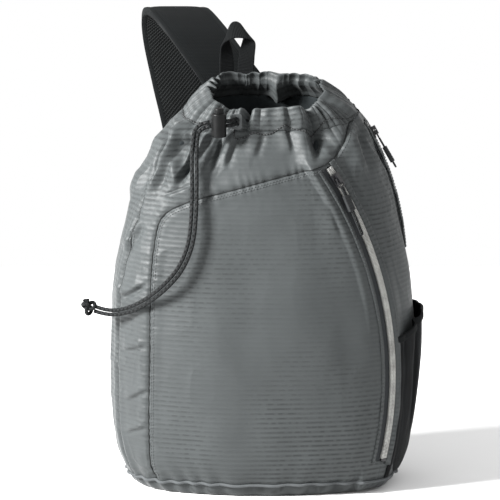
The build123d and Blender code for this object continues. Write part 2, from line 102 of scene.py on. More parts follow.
def lumps(points, scale, seed):
    """Smooth noise from -1 to 1 at N x 3 points, one lump about every scale mm."""
    p = np.asarray(points) / scale + seed * 17.31
    cell = np.floor(p).astype(np.int64)
    f = p - cell
    f = f * f * (3 - 2 * f)
    total = 0
    for corner in range(8):
        offset = np.array([(corner >> k) & 1 for k in range(3)])
        c = cell + offset
        key = (c[..., 0] * 73856093) ^ (c[..., 1] * 19349663) ^ (c[..., 2] * 83492791)
        key = (key ^ (key >> 13)) * 1274126177 & 0x7FFFFFFF
        value = (key % 100003) / 50001.5 - 1
        weight = np.prod(np.where(offset, f, 1 - f), axis=-1)
        total = total + value * weight
    return total


def base_point(phi, h, out=0.0):
    """Smooth body surface at angle phi (0 is +X, -pi/2 is the front) and height h."""
    a = smooth_rows(h, 1) + out
    front, back = smooth_rows(h, 3) + out, smooth_rows(h, 4) + out
    c, s = np.cos(phi), np.sin(phi)
    x = smooth_rows(h, 2) + a * np.sign(c) * np.abs(c) ** (2 / ROUNDNESS)
    y = np.where(s < 0, front, back) * np.sign(s) * np.abs(s) ** (2 / ROUNDNESS)
    z = h + smoothstep(335, RIM_H, h) * (y - RIM_Y) * RIM_SLOPE
    return stack(x, y, z)


def phi_at_x(x, h):
    """Angle on the front where the body reaches x."""
    ratio = np.clip((x - smooth_rows(h, 2)) / smooth_rows(h, 1), -1, 1)
    c = np.sign(ratio) * np.abs(ratio) ** (ROUNDNESS / 2)
    return -np.arccos(np.clip(c, -1, 1))


def phi_at_y(y, h, side):
    """Angle on the left (-1) or right (+1) side where the body reaches y."""
    depth = np.where(y < 0, smooth_rows(h, 3), smooth_rows(h, 4))
    s = np.sign(y) * np.abs(np.clip(y / depth, -1, 1)) ** (ROUNDNESS / 2)
    angle = np.arcsin(s)
    return angle if side > 0 else np.pi - angle


def side_seam_y(z, y, side):
    """The left front seam swings outward where it climbs the shoulder."""
    swing = 26.0 if side < 0 and y < 0 else 0.0
    return y + swing * smoothstep(318, 396, z)


# seams of the front, as x and z
PANEL_SEAM = np.array([
    (-116, 16), (-123, 38), (-124, 97), (-123, 165), (-121, 240), (-117, 283), (-111, 304),
    (-100, 316), (-80, 326), (-62, 332), (-3, 348), (67, 366)], float)
SIDE_RISE = np.array([(67, 366), (80, 374), (88, 385), (93, 398), (99, 412)], float)


def polyline_distance(x, z, line):
    """Distance to a polyline in the XZ plane, and the length along it."""
    best = np.full(x.shape, 1e9)
    along = np.zeros(x.shape)
    run = 0.0
    for (x0, z0), (x1, z1) in zip(line, line[1:]):
        dx, dz = x1 - x0, z1 - z0
        length = math.hypot(dx, dz)
        t = np.clip(((x - x0) * dx + (z - z0) * dz) / length**2, 0, 1)
        d = np.hypot(x - x0 - t * dx, z - z0 - t * dz)
        along = np.where(d < best, run + t * length, along)
        best = np.minimum(best, d)
        run += length
    return best, along


def zip_polar(x, z, centre):
    """Radius and angle in degrees about a zipper's centre, in the XZ plane."""
    x, z = x - centre[0], z - centre[1]
    return np.hypot(x, z), np.degrees(np.arctan2(z, x))


def in_span(angle, span, spare=0.0):
    """Whether an angle lies on a zipper's arc, or no more than spare past its ends."""
    return (angle > span[0] - spare) & (angle < span[1] + spare)


def bump(x, centre, width):
    """A bell curve of height 1."""
    return np.exp(-((x - centre) / width) ** 2)


# gathers round the mouth: how many, their unevenness and its seed
SMALL_GATHERS = (40, 4.0, 5)
MIDDLE_GATHERS = (19, 3.0, 6)
# creases of the cloth: size, height, seed, squash in height
CREASES = ((52, 1.3, 3, 0.45), (30, 0.9, 4, 0.7), (17, 0.42, 8, 1.0))
# left front, left back and right back seams: name, front (-1) or back (1), left (-1) or right (1)
UPRIGHT_SEAMS = (("left_front", -1, -1), ("left_back", 1, -1), ("right_back", 1, 1))


def bulges(phi, where, count, wobble, seed, spread=38):
    """Rounded gathers with pinched valleys between them, unevenly spaced round the mouth."""
    drift = lumps(where, spread, seed)
    return np.abs(np.sin(phi * count / 2 + wobble * drift)) ** 0.75 - 0.62


def gather_strength(ring):
    """Some stretches of the mouth are pulled tight and ruffled, others lie almost smooth."""
    return 0.65 + 0.75 * lumps(ring, 48, 18)


# each pleat: from x, z to x, z, height, soft side width, steep side width
PLEATS = [
    (-100, 402, -148, 312, 10.0, 14, 3.4), (-68, 404, -99, 340, 10.0, 13, 3.2),
    (-84, 402, -124, 330, 4.0, 9, 2.8), (-54, 400, -78, 366, 5.0, 7, 2.4),
    (-46, 404, -100, 384, 3.6, 5, 2.0), (-44, 398, -62, 356, 4.0, 6, 2.2),
    (-30, 400, -42, 362, 3.0, 8, 2.6), (-4, 402, -10, 372, 2.0, 8, 2.8),
    (22, 404, 30, 376, 2.2, 8, 3.0), (42, 408, 56, 362, 6.0, 12, 4.5),
    (-106, 329, -74, 342, 3.0, 5, 1.5), (96, 400, 114, 350, 4.6, 9, 3.2),
    (108, 392, 132, 344, 3.0, 8, 3.0), (80, 352, 96, 300, 2.4, 10, 4.0),
    (-132, 300, -150, 262, 3.6, 8, 2.4), (-126, 238, -160, 214, 3.0, 7, 2.2),
    (-127, 170, -154, 160, 2.2, 7, 2.4), (-125, 120, -152, 104, 2.0, 7, 2.4),
    (-126, 78, -150, 66, 2.0, 6, 2.2), (66, 330, 84, 286, 1.6, 9, 3.5),
]
# each valley: points, width, depth
VALLEYS = [
    (((58, 406), (62, 392), (70, 374), (80, 356)), 9.5, 10.0),
    (((-96, 398), (-122, 358), (-142, 322)), 5.5, 13.0),
    (((-72, 404), (-84, 374), (-93, 344)), 7.5, 14.0),
    (((-42, 406), (-48, 388), (-60, 364)), 5.5, 7.0),
    (((-18, 406), (-19, 396), (-24, 384)), 4.0, 2.5),
]


def signed_distance(x, z, x0, z0, x1, z1):
    """Distance to a line, positive on its left, and the share of the way along."""
    dx, dz = x1 - x0, z1 - z0
    length = math.hypot(dx, dz)
    share = ((x - x0) * dx + (z - z0) * dz) / length**2
    return ((z - z0) * dx - (x - x0) * dz) / length, share


def relief(p, h, phi):
    """How far the cloth stands off the smooth body, in mm: folds, seams, gathers, crumple."""
    x, y, z = p[..., 0], p[..., 1], p[..., 2]
    front = smoothstep(-10, -30, y)
    wide_front = smoothstep(25, -5, y)
    shoulder = smoothstep(250, 380, z)
    gusset = smoothstep(-95, -125, x) + smoothstep(125, 150, x) * 0.6
    total = 1.1 * lumps(p, 75, 1) + 0.8 * lumps(p * [1, 1, 0.6], 30, 2)
    # crisp creases: a folded noise is sharp where it changes sign
    strength = 0.30 + 0.85 * shoulder + 0.5 * gusset
    strength = strength * (1 + 0.6 * lumps(p, 80, 9))
    strength = strength * (1 - 0.6 * front * smoothstep(-75, -30, x) * smoothstep(110, 80, x))
    for size, height, seed, squash in CREASES:
        warped = p + 7 * lumps(p, 40, seed + 40)[..., None]
        fold = 1 - np.abs(lumps(warped * [1, 1, squash], size, seed)) * 1.8
        total += height * strength * np.maximum(fold, 0) ** 2.2
    # gathers that fan out below the mouth band
    below = RIM_H - h
    ring = base_point(phi, np.full(np.shape(phi), RIM_H))
    uneven = gather_strength(ring)
    total += 1.6 * uneven * bulges(phi, ring, *SMALL_GATHERS) * np.exp(-below / 10)
    total += 3.2 * uneven * bulges(phi, ring, *MIDDLE_GATHERS) * np.exp(-below / 24)
    wide = bulges(phi, ring, 10, 2.5, 7, 60)
    total += 3.8 * wide * np.exp(-below / 60) * smoothstep(0, 26, below)
    # seams of the front pocket panel and of the shoulder
    for line, depth in ((PANEL_SEAM, 1.6), (SIDE_RISE, 2.2)):
        d, along = polyline_distance(x, z, line)
        pucker = np.cos(along * 0.62 + 2.4 * np.sin(along * 0.11))
        total += front * (-depth * bump(d, 0, 2.2) + 0.5 * pucker * np.exp(-d / 6))
        total += front * 0.7 * bump(d, 7, 5)
    # the upright seams
    for _, end, side in UPRIGHT_SEAMS:
        seam = end * SEAM_Y
        on_side = smoothstep(60, 90, side * x)
        d = np.abs(y - side_seam_y(z, seam, side))
        pucker = np.cos(z * 0.42 + 2.4 * np.sin(z * 0.09 + seam))
        total += on_side * (-2.0 * bump(d, 0, 2.2) + 0.5 * pucker * np.exp(-d / 8))
        total += on_side * 1.2 * bump(d, 6, 4)
    for x0, z0, x1, z1, height, soft, steep in PLEATS:
        d, share = signed_distance(x, z, x0, z0, x1, z1)
        d = d + 1.5 * lumps(p, 24, 15)
        ends = smoothstep(-0.05, 0.3, share) * smoothstep(1.05, 0.65, share)
        shape = bump(d, 0, np.where(d > 0, steep, soft))
        shape = shape - 0.75 * bump(d, steep * 1.9, steep * 1.1)
        total += wide_front * height * ends * shape
    for line, width, depth in VALLEYS:
        d, along = polyline_distance(x, z, np.array(line, float))
        run = math.hypot(line[-1][0] - line[0][0], line[-1][1] - line[0][1])
        ends = smoothstep(-0.1 * run, 0.3 * run, along) * smoothstep(run, 0.6 * run, along)
        hollow = -depth * bump(d, 0, width * (0.35 + 0.65 * ends))
        total += wide_front * ends * (hollow + 0.22 * depth * bump(d, 2.1 * width, width))
    # soft hang folds low on the front
    total += front * 0.9 * np.cos(x * 0.05 + z * 0.012 + 0.6) * smoothstep(210, 60, z)
    # puckers where the bottom seam gathers the panels
    total += 1.2 * np.cos(phi * 37 + 3 * lumps(p, 50, 16)) * np.exp(-(z - BASE_Z) / 12)
    return total


def surface(phi, h, out=0.0):
    """Wrinkled body surface in mm, with cloth drawn in to the zipper tapes."""
    phi, h = np.broadcast_arrays(np.asarray(phi, float), np.asarray(h, float))
    p = base_point(phi, h)
    e = 0.01
    du = base_point(phi + e, h) - base_point(phi - e, h)
    dv = base_point(phi, np.minimum(h + 1, RIM_H)) - base_point(phi, np.maximum(h - 1, 0))
    normal = np.cross(du, dv)
    normal /= np.linalg.norm(normal, axis=-1, keepdims=True) + 1e-12
    rho, angle = zip_polar(p[..., 0], p[..., 2], ZIP_C)
    reach = np.abs(rho - ZIP_R)
    in_front = (p[..., 1] < FRONT_Y) & (angle > ZIP_SPAN[0] - 6) & (angle < ZIP_SPAN[1] + 5)
    reach = np.where(rho < ZIP_R, reach - 5, reach)
    blend = np.where(rho < ZIP_R, 48.0, 18.0)
    lift = np.where(in_front, smoothstep(0, 1, (blend - reach) / (blend - 9)), 0)
    near = np.where(in_front, smoothstep(18, 9, reach), 0)
    top = smoothstep(ZIP_SPAN[1] + 4, ZIP_SPAN[1] + 0.5, angle)
    near, lift = near * top, lift * top
    side_rho, side_angle = zip_polar(p[..., 0], p[..., 2], SIDE_C)
    side_reach = np.abs(p[..., 1] - SIDE_Y)
    on_side = (p[..., 0] > RIGHT_X) & in_span(side_angle, SIDE_SPAN, 3)
    side_near = np.where(on_side, smoothstep(18, 6, side_reach), 0)
    plane_y = ZIP_Y + (rho - ZIP_R) * math.tan(ZIP_TILT) - 1.2 - out
    rise = np.clip(plane_y - p[..., 1], -3.5, 3.5)
    p = p + normal * ((relief(p, h, phi) * (1 - near) * (1 - side_near) + out)[..., None])
    p[..., 1] += (1 - near) * lift * rise + near * (plane_y - p[..., 1])
    grow = (SIDE_R + 1.0 + out) / np.maximum(side_rho, 1)
    for axis, c in ((0, SIDE_C[0]), (2, SIDE_C[1])):
        target = c + (p[..., axis] - c) * grow
        p[..., axis] = p[..., axis] * (1 - side_near) + side_near * target
    return p


# --- mesh helpers
def link_object(name, data):
    """A new object in the scene for a mesh, curve, light or camera."""
    obj = bpy.data.objects.new(name, data)
    bpy.context.scene.collection.objects.link(obj)
    return obj


def new_object(name, vertices, faces, material):
    """A smooth shaded mesh object from vertices in mm."""
    vertices = np.asarray(vertices).reshape(-1, 3) * MM
    mesh = bpy.data.meshes.new(name)
    mesh.from_pydata([tuple(v) for v in vertices], [], [tuple(f) for f in faces])
    mesh.validate()
    mesh.shade_smooth()
    mesh.materials.append(material)
    return link_object(name, mesh)


def grid_faces(rows, columns, wrap_columns=False, wrap_rows=False):
    """Quads of a rows x columns grid of vertices."""
    r = np.arange(rows if wrap_rows else rows - 1)
    c = np.arange(columns if wrap_columns else columns - 1)
    rr, cc = np.meshgrid(r, c, indexing="ij")
    r2, c2 = (rr + 1) % rows, (cc + 1) % columns
    corners = stack(rr * columns + cc, rr * columns + c2, r2 * columns + c2, r2 * columns + cc)
    return corners.reshape(-1, 4)


def set_uv(obj, uv):
    """One UV per vertex, in mm."""
    layer = obj.data.uv_layers.new(name="cloth")
    index = np.zeros(len(obj.data.loops), np.int32)
    obj.data.loops.foreach_get("vertex_index", index)
    uv = np.asarray(uv, np.float32).reshape(-1, 2)
    layer.data.foreach_set("uv", uv[index].ravel())


def thicken(obj, mm, offset=-1):
    """Gives a sheet a thickness, inward unless offset is 1."""
    modifier = obj.modifiers.new("cloth", "SOLIDIFY")
    modifier.thickness = mm * MM
    modifier.offset = offset


def ribbon(name, centres, across, normals, profile, material, closed=False):
    """Sweeps a closed (across, normal) profile along a line of centres."""
    centres, across, normals = (np.asarray(v, float) for v in (centres, across, normals))
    profile = np.asarray(profile, float)
    if profile.ndim == 2:
        profile = np.repeat(profile[None], len(centres), 0)
    points = (centres[:, None] + across[:, None] * profile[..., :1]
              + normals[:, None] * profile[..., 1:])
    count, ring = points.shape[:2]
    faces = [tuple(f) for f in grid_faces(count, ring, wrap_columns=True, wrap_rows=closed)]
    if not closed:
        faces += [tuple(range(ring))[::-1], tuple(range((count - 1) * ring, count * ring))]
    obj = new_object(name, points, faces, material)
    run = running_length(centres)
    set_uv(obj, stack(profile[..., 0], run[:, None]))
    return obj


def rounded_profile(width, thickness, crown=0.0, steps=24):
    """A closed cross-section: flat strip with round edges, optionally crowned like a pad."""
    radius = thickness / 2
    top = np.linspace(radius - width / 2, width / 2 - radius, steps)
    upper = stack(top, radius + crown * (1 - (2 * top / width) ** 2))
    angle = np.linspace(math.pi / 2, -math.pi / 2, 7)[1:-1]
    right = stack(width / 2 - radius + radius * np.cos(angle), radius * np.sin(angle))
    return np.concatenate([upper, right, -upper, -right])


def interp_points(at, run, line):
    """Points of a line at some lengths along it."""
    return stack(*(np.interp(at, run, column) for column in line.T))


def catmull(points, count):
    """A smooth line through points, with evenly spread samples."""
    p = np.asarray(points, float)
    p = np.vstack([2 * p[0] - p[1], p, 2 * p[-1] - p[-2]])
    out = []
    for i in range(1, len(p) - 2):
        t = np.linspace(0, 1, 24, endpoint=False)[:, None]
        a, b, c, d = p[i - 1], p[i], p[i + 1], p[i + 2]
        out.append(0.5 * (2 * b + (c - a) * t + (2 * a - 5 * b + 4 * c - d) * t**2
                          + (3 * b - a - 3 * c + d) * t**3))
    out = np.vstack(out + [p[-2][None]])
    run = running_length(out[:, :3])
    even = np.linspace(0, run[-1], count)
    return interp_points(even, run, out)


def smooth_keys(points, at):
    """A smooth line through points, at places counted in points from 0."""
    points = np.asarray(points, float)
    i = np.clip(np.floor(at).astype(int), 0, len(points) - 2)
    slope = np.gradient(points, axis=0)
    return hermite(points[i], slope[i], points[i + 1], slope[i + 1], (at - i)[:, None])


def unit(v):
    """Vectors of length 1."""
    return v / (np.linalg.norm(v, axis=-1, keepdims=True) + 1e-12)


def running_length(line):
    """Length along a line of points, from 0 at its first."""
    return np.concatenate([[0], np.cumsum(np.linalg.norm(np.diff(line, axis=0), axis=1))])


def full_turn(count):
    """Evenly spread angles round the body, starting at -pi."""
    return np.linspace(-np.pi, np.pi, count, endpoint=False)


def new_tubes(name, centres, side, normal, radius, material, ring=6):
    """Many open tubes as one piece; centres is tubes x stations x 3."""
    spin = np.linspace(0, 2 * np.pi, ring, endpoint=False)[:, None]
    wall = side[:, :, None] * np.cos(spin) + normal[:, :, None] * np.sin(spin)
    count, stations = centres.shape[:2]
    one = grid_faces(stations, ring, wrap_columns=True)
    faces = (one[None] + (np.arange(count) * stations * ring)[:, None, None]).reshape(-1, 4)
    return new_object(name, centres[:, :, None] + radius * wall, faces, material)


def frame_along(line, normal, axis=0):
    """Sideways and outward directions of a line whose rough outward direction is normal."""
    along = unit(np.gradient(line, axis=axis))
    side = unit(np.cross(along, normal))
    return side, unit(np.cross(side, along))


def new_sheet(name, points, faces, material, uv, node, thickness=0.0, offset=-1):
    """A sheet of cloth on the bag, in place of a CAD node."""
    obj = new_object(name, points, faces, material)
    set_uv(obj, uv)
    if thickness:
        thicken(obj, thickness, offset)
    fit(obj, "bag", node)
    return obj


def fit(obj, body, node=None):
    """Lets obj ride on a body, in place of a CAD node if it has one."""
    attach(obj, body)
    if node:
        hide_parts(node)


# --- materials
class Shader:
    """A Principled material with a few short ways to add nodes."""

    def __init__(self, name, color, roughness, specular=0.5):
        self.material = bpy.data.materials.new(name)
        self.material.use_nodes = True
        self.tree = self.material.node_tree
        self.bsdf = self.tree.nodes["Principled BSDF"]
        self.bsdf.inputs["Base Color"].default_value = (*color, 1)
        self.bsdf.inputs["Roughness"].default_value = roughness
        self.bsdf.inputs["Specular IOR Level"].default_value = specular
        self.color = color

    def node(self, kind, settings=None, **inputs):
        """A new node; inputs go by name, or by number as i0, i1 and so on."""
        node = self.tree.nodes.new(kind)
        for key, value in (settings or {}).items():
            setattr(node, key, value)
        for key, value in inputs.items():
            socket = node.inputs[int(key[1:]) if key[1:].isdigit() else key]
            if isinstance(value, bpy.types.NodeSocket):
                self.tree.links.new(value, socket)
            else:
                socket.default_value = value
        return node

    def math(self, operation, a, b=0.0):
        return self.node("ShaderNodeMath", {"operation": operation}, i0=a, i1=b).outputs[0]

    def plus(self, a, b):
        return self.math("ADD", a, b)

    def times(self, a, b):
        return self.math("MULTIPLY", a, b)

    def wave(self, a, rate):
        """The sine of a times rate."""
        return self.math("SINE", self.times(a, rate))

    def plane(self, x, y):
        """A place for noise, from two numbers."""
        return self.node("ShaderNodeCombineXYZ", i0=x, i1=y).outputs[0]

    def uv(self):
        """The two UV coordinates, in mm on cloth."""
        split = self.node("ShaderNodeSeparateXYZ",
                          i0=self.node("ShaderNodeTexCoord").outputs["UV"])
        return split.outputs[0], split.outputs[1]

    def noise(self, scale, detail=3.0, vector=None):
        vector = vector or self.node("ShaderNodeTexCoord").outputs["Object"]
        return self.node("ShaderNodeTexNoise", Scale=scale, Detail=detail,
                         Vector=vector).outputs[0]

    def ramp(self, factor, low, high, from_value=0.0, to_value=1.0):
        """from_value where factor is low, to_value where it is high."""
        return self.node("ShaderNodeMapRange", i0=factor, i1=low, i2=high, i3=from_value,
                         i4=to_value).outputs[0]

    def tint(self, factor, dark, light):
        """A color from dark to light."""
        mix = self.node("ShaderNodeMix", {"data_type": "RGBA"}, i0=factor, i6=(*dark, 1),
                        i7=(*light, 1))
        return mix.outputs[2]

    def link(self, socket, name):
        self.tree.links.new(socket, self.bsdf.inputs[name])

    def shade_between(self, factor, dark, light):
        """Base color from dark to light times the material's own color."""
        low, high = (tuple(c * share for c in self.color) for share in (dark, light))
        self.link(self.tint(factor, low, high), "Base Color")

    def bump(self, heights):
        """Bumps on each other, from a list of (socket, strength, distance in m)."""
        normal = None
        for socket, strength, distance in heights:
            inputs = {"Strength": strength, "Distance": distance, "Height": socket}
            if normal:
                inputs["Normal"] = normal
            normal = self.node("ShaderNodeBump", **inputs).outputs[0]
        self.link(normal, "Normal")


RIPSTOP_PITCH = 5.3


def ripstop(name="ripstop_nylon", color=(0.0325, 0.0358, 0.0363)):
    """Satin grey nylon with broken tone-on-tone lines, painted highlight streaks along some rows,
    and fine crumple.
    """
    s = Shader(name, color, 0.46, 0.15)
    u, v = s.uv()
    row = s.wave(v, 2 * math.pi / RIPSTOP_PITCH)
    line = s.ramp(row, 0.0, 0.85)
    cell = s.plane(s.times(u, 0.16), s.math("SNAP", v, RIPSTOP_PITCH))
    dash = s.ramp(s.noise(1.0, 1.0, cell), 0.40, 0.56, 0.25, 1.0)
    zone = s.ramp(s.noise(8.0, 2.0), 0.40, 0.60, 0.08, 1.0)
    mark = s.times(s.times(line, dash), zone)
    weave = s.times(s.wave(u, 9.0), s.wave(v, 9.0))
    # painted highlight: some ripstop rows are painted brighter, standing in for the glint of the
    # satin rows
    painted_light_streak = s.times(s.ramp(row, -0.1, -0.9), s.ramp(s.noise(5.5, 1.0), 0.50, 0.62))
    cloud = s.noise(18.0, 4.0)
    shade = s.plus(s.times(mark, -0.40), s.ramp(cloud, 0.3, 0.7, 0.50, 0.62))
    shade = s.plus(shade, s.times(weave, 0.03))
    s.shade_between(s.plus(shade, s.times(painted_light_streak, 0.12)), 0.45, 1.5)
    s.link(s.plus(s.times(mark, 0.12), s.ramp(cloud, 0.2, 0.8, 0.42, 0.50)), "Roughness")
    s.bsdf.inputs["Sheen Weight"].default_value = 0.04
    s.bsdf.inputs["Sheen Roughness"].default_value = 0.4
    s.bump([(weave, 0.2, 0.0001), (s.noise(420.0, 2.0), 0.10, 0.0006), (row, 0.35, 0.00025),
            (s.noise(60.0, 3.0), 0.2, 0.0018)])
    return s.material


def woven(name, color, roughness, pitch=1.1, depth=0.0003, sheen=0.004, tone_spread=0.35):
    """Ribbed webbing or plain woven tape; the ribs run across the strip, with painted shade in the
    grooves between them.
    """
    s = Shader(name, color, roughness, 0.055)
    u, v = s.uv()
    rib = s.wave(v, 2 * math.pi / pitch)
    cross = s.times(rib, s.wave(u, 2 * math.pi / pitch))
    height = s.plus(rib, s.times(cross, 0.8))
    cloud = s.noise(60.0, 3.0)
    # painted shade: the rib height darkens the grooves and lightens the rib tops; the cloud adds
    # random tone
    shade = s.plus(s.times(height, 0.12), s.ramp(cloud, 0.3, 0.7, 0.4, 0.6))
    s.shade_between(shade, 1 - tone_spread, 1 + tone_spread * 1.6)
    s.link(s.ramp(cloud, 0.2, 0.8, roughness - 0.06, roughness + 0.08), "Roughness")
    s.bsdf.inputs["Sheen Weight"].default_value = sheen
    s.bump([(height, 0.7, depth), (s.noise(900.0, 2.0), 0.2, 0.0003)])
    return s.material


def open_mesh(name, color, pitch, hole_depth, light=2.6, painted_light_streak=0.0):
    """Knitted mesh: staggered round holes between raised threads; the holes are painted dark as
    painted shade, and optional upright stripes paint fold shade and highlight.
    """
    s = Shader(name, color, 0.62, 0.08)
    u, v = s.uv()
    diagonals = [s.math("ABSOLUTE", s.wave(way, math.pi / pitch))
                 for way in (s.plus(u, v), s.math("SUBTRACT", u, v))]
    thread = s.ramp(s.math("MINIMUM", *diagonals), 0.75, 0.2)
    # painted shade: the holes between the threads are painted dark, standing in for the shade seen
    # through them
    shade = s.times(thread, s.ramp(s.noise(45.0, 3.0), 0.25, 0.75, 0.35, 1.0))
    # painted shade and highlight: light and dark upright stripes stand in for the lit and shaded
    # sides of the net's hanging folds
    if painted_light_streak:
        run = s.plane(s.times(u, painted_light_streak), s.times(v, 0.012))
        shade = s.times(shade, s.ramp(s.noise(1.0, 2.0, run), 0.38, 0.62, 0.12, 1.0))
    s.shade_between(shade, 0.25, light)
    s.bump([(thread, 1.0, hole_depth), (s.noise(1200.0, 1.0), 0.15, 0.0002)])
    return s.material


def braid(name, color):
    """Braided cord: two sets of crossing spirals from the curve's own UV, with painted highlights
    on the strand crests and painted shade between them.
    """
    s = Shader(name, color, 0.6, 0.12)
    u, v = s.uv()
    turns = s.times(u, 340.0)
    around = s.times(v, 4 * math.pi)
    spirals = [s.math("SINE", s.math(way, turns, around)) for way in ("ADD", "SUBTRACT")]
    height = s.math("MAXIMUM", *spirals)
    # painted highlight and shade: the strand height paints the crests light and the grooves dark
    s.shade_between(s.ramp(height, -0.6, 1.0), 0.35, 1.9)
    s.bump([(height, 0.8, 0.0006)])
    return s.material


def moulded(name, color, roughness, grain=1500.0, specular=0.5, metallic=0.0, tone_spread=0.25):
    """Plastic, rubber or painted metal with fine grain and light wear."""
    s = Shader(name, color, roughness, specular)
    s.bsdf.inputs["Metallic"].default_value = metallic
    s.shade_between(s.ramp(s.noise(90.0, 4.0), 0.3, 0.7), 1 - tone_spread, 1 + tone_spread)
    smudge = s.ramp(s.noise(240.0, 3.0), 0.3, 0.7, roughness - 0.05, roughness + 0.08)
    s.link(smudge, "Roughness")
    s.bump([(s.noise(grain, 2.0), 0.12, 0.0002)])
    return s.material


# every color is linear RGB
GREY = ripstop()
# painted shade: a darker copy of the same ripstop for the base panel under the bag
GREY_SHADED = ripstop("ripstop_painted_shade", (0.030, 0.0330, 0.0335))
SEAM = moulded("seam_shadow", (0.012, 0.013, 0.013), 0.7, 2000.0, 0.1)
LINING = woven("lining_cloth", (0.016, 0.019, 0.020), 0.7, 0.9, 0.0001, 0.0, 0.2)
WEBBING = woven("black_webbing", (0.0030, 0.0034, 0.0036), 0.62, 1.6, 0.0005)
STRAP_FACE = woven("strap_face", (0.0026, 0.0031, 0.0033), 0.70, 1.9, 0.0006, 0.008, 0.45)
BINDING = woven("binding_tape", (0.0040, 0.0046, 0.0048), 0.60, 0.9, 0.0002, 0.004, 0.2)
AIR_MESH = open_mesh("air_mesh", (0.0034, 0.0040, 0.0041), 4.2, 0.0014, 2.3)
POCKET_MESH = open_mesh("pocket_mesh", (0.0075, 0.0083, 0.009), 3.0, 0.0007, 2.6, 0.16)
TAPE = woven("zipper_tape", (0.022, 0.0235, 0.025), 0.6, 0.8, 0.0001, 0.02, 0.2)
PEWTER = moulded("pewter", (0.16, 0.16, 0.155), 0.4, 2600.0, 0.4)
COIL = moulded("zipper_coil", (0.33, 0.33, 0.315), 0.35, 2600.0, 0.4)
LACQUER = moulded("black_lacquer", (0.010, 0.010, 0.011), 0.3, 3000.0, 0.35)
RUBBER = moulded("rubber_grip", (0.011, 0.012, 0.0125), 0.5, 1800.0, 0.2)
PLASTIC = moulded("black_plastic", (0.0028, 0.0030, 0.0030), 0.36, 1800.0, 0.14)
STEEL = moulded("spring_steel", (0.55, 0.55, 0.55), 0.3, 2000.0, 0.5, 1.0)
CORD = braid("braided_cord", (0.0045, 0.0050, 0.0052))
PULL_CORD = moulded("pull_cord", (0.011, 0.012, 0.0125), 0.6, 2500.0, 0.12)
THREAD = moulded("grey_thread", (0.050, 0.054, 0.055), 0.6, 3000.0, 0.2)
DARK_THREAD = moulded("dark_thread", (0.020, 0.021, 0.022), 0.55, 3000.0)
PIPING = woven("piping_tape", (0.058, 0.062, 0.064), 0.5, 1.2, 0.0002)
FOAM = moulded("foam", (0.30, 0.30, 0.29), 0.8, 700.0)


# --- bag body
CLOTH_T = 0.7
BAND_CLOTH_T = 0.6
NET_T = 0.9
LINING_T = 1.0
BACK_PAD_T = 4.0
PHI_COUNT = 840
ROW_COUNT = 340
RING = 360
BOTTOM_Z = 0.15
PIPING_W = 3.4
PIPING_T = 3.2


def build_panels():
    """One wrinkled skin, parted into the panels it is sewn from."""
    phi = full_turn(PHI_COUNT)
    h = np.linspace(BASE_Z, RIM_H, ROW_COUNT)
    hh, pp = np.meshgrid(h, phi, indexing="ij")
    points = surface(pp, hh)
    flat = points.reshape(-1, 3)
    faces = grid_faces(ROW_COUNT, PHI_COUNT, wrap_columns=True)
    middle = flat[faces].mean(1)
    x, y, z = middle.T
    rho, angle = zip_polar(x, z, ZIP_C)
    seam_z = np.interp(x, PANEL_SEAM[4:, 0], PANEL_SEAM[4:, 1])
    left_x = np.interp(z, PANEL_SEAM[:6, 1], PANEL_SEAM[:6, 0])
    is_front = (y < FRONT_Y) & (z < seam_z) & (x > left_x) & (rho < ZIP_R) & (x < 160)
    rise_x = np.interp(z, SIDE_RISE[:, 1], SIDE_RISE[:, 0])
    right_side = (y < SEAM_Y) & (((rho >= ZIP_R) & (z < 366)) | ((z >= 366) & (x > rise_x)))
    right_side &= x > 40
    in_front_slot = (y < FRONT_Y) & (rho > ZIP_R - WIDE_SLOT) & (rho < ZIP_R + SLOT_HALF)
    in_front_slot &= in_span(angle, ZIP_SPAN)
    _, side_angle = zip_polar(x, z, SIDE_C)
    in_side_slot = (x > RIGHT_X) & (np.abs(y - SIDE_Y) < SLOT_HALF)
    in_side_slot &= in_span(side_angle, SIDE_SPAN)
    keep = ~(in_front_slot | in_side_slot)
    rest = ~is_front & ~right_side
    on_left = rest & (y > side_seam_y(z, -SEAM_Y, -1)) & (y < SEAM_Y) & (x < 20)
    groups = (
        ("front_pocket_panel", "front_panel", is_front),
        ("right_side_cloth", "right_side_panel", right_side & ~is_front),
        ("back_cloth", "back_panel", rest & (y >= SEAM_Y)),
        ("left_side_cloth", "left_side_panel", on_left),
        ("yoke_cloth", "yoke_panel", rest & (y < SEAM_Y) & ~on_left),
    )
    arc = running_length(base_point(phi, np.full(PHI_COUNT, 170.0)))
    uv = stack(arc, points[..., 2]).reshape(-1, 2)
    for name, node, mask in groups:
        chosen = faces[mask & keep]
        used, inverse = np.unique(chosen, return_inverse=True)
        new_sheet(name, flat[used], inverse.reshape(-1, 4), GREY, uv[used], node,
                  CLOTH_T)


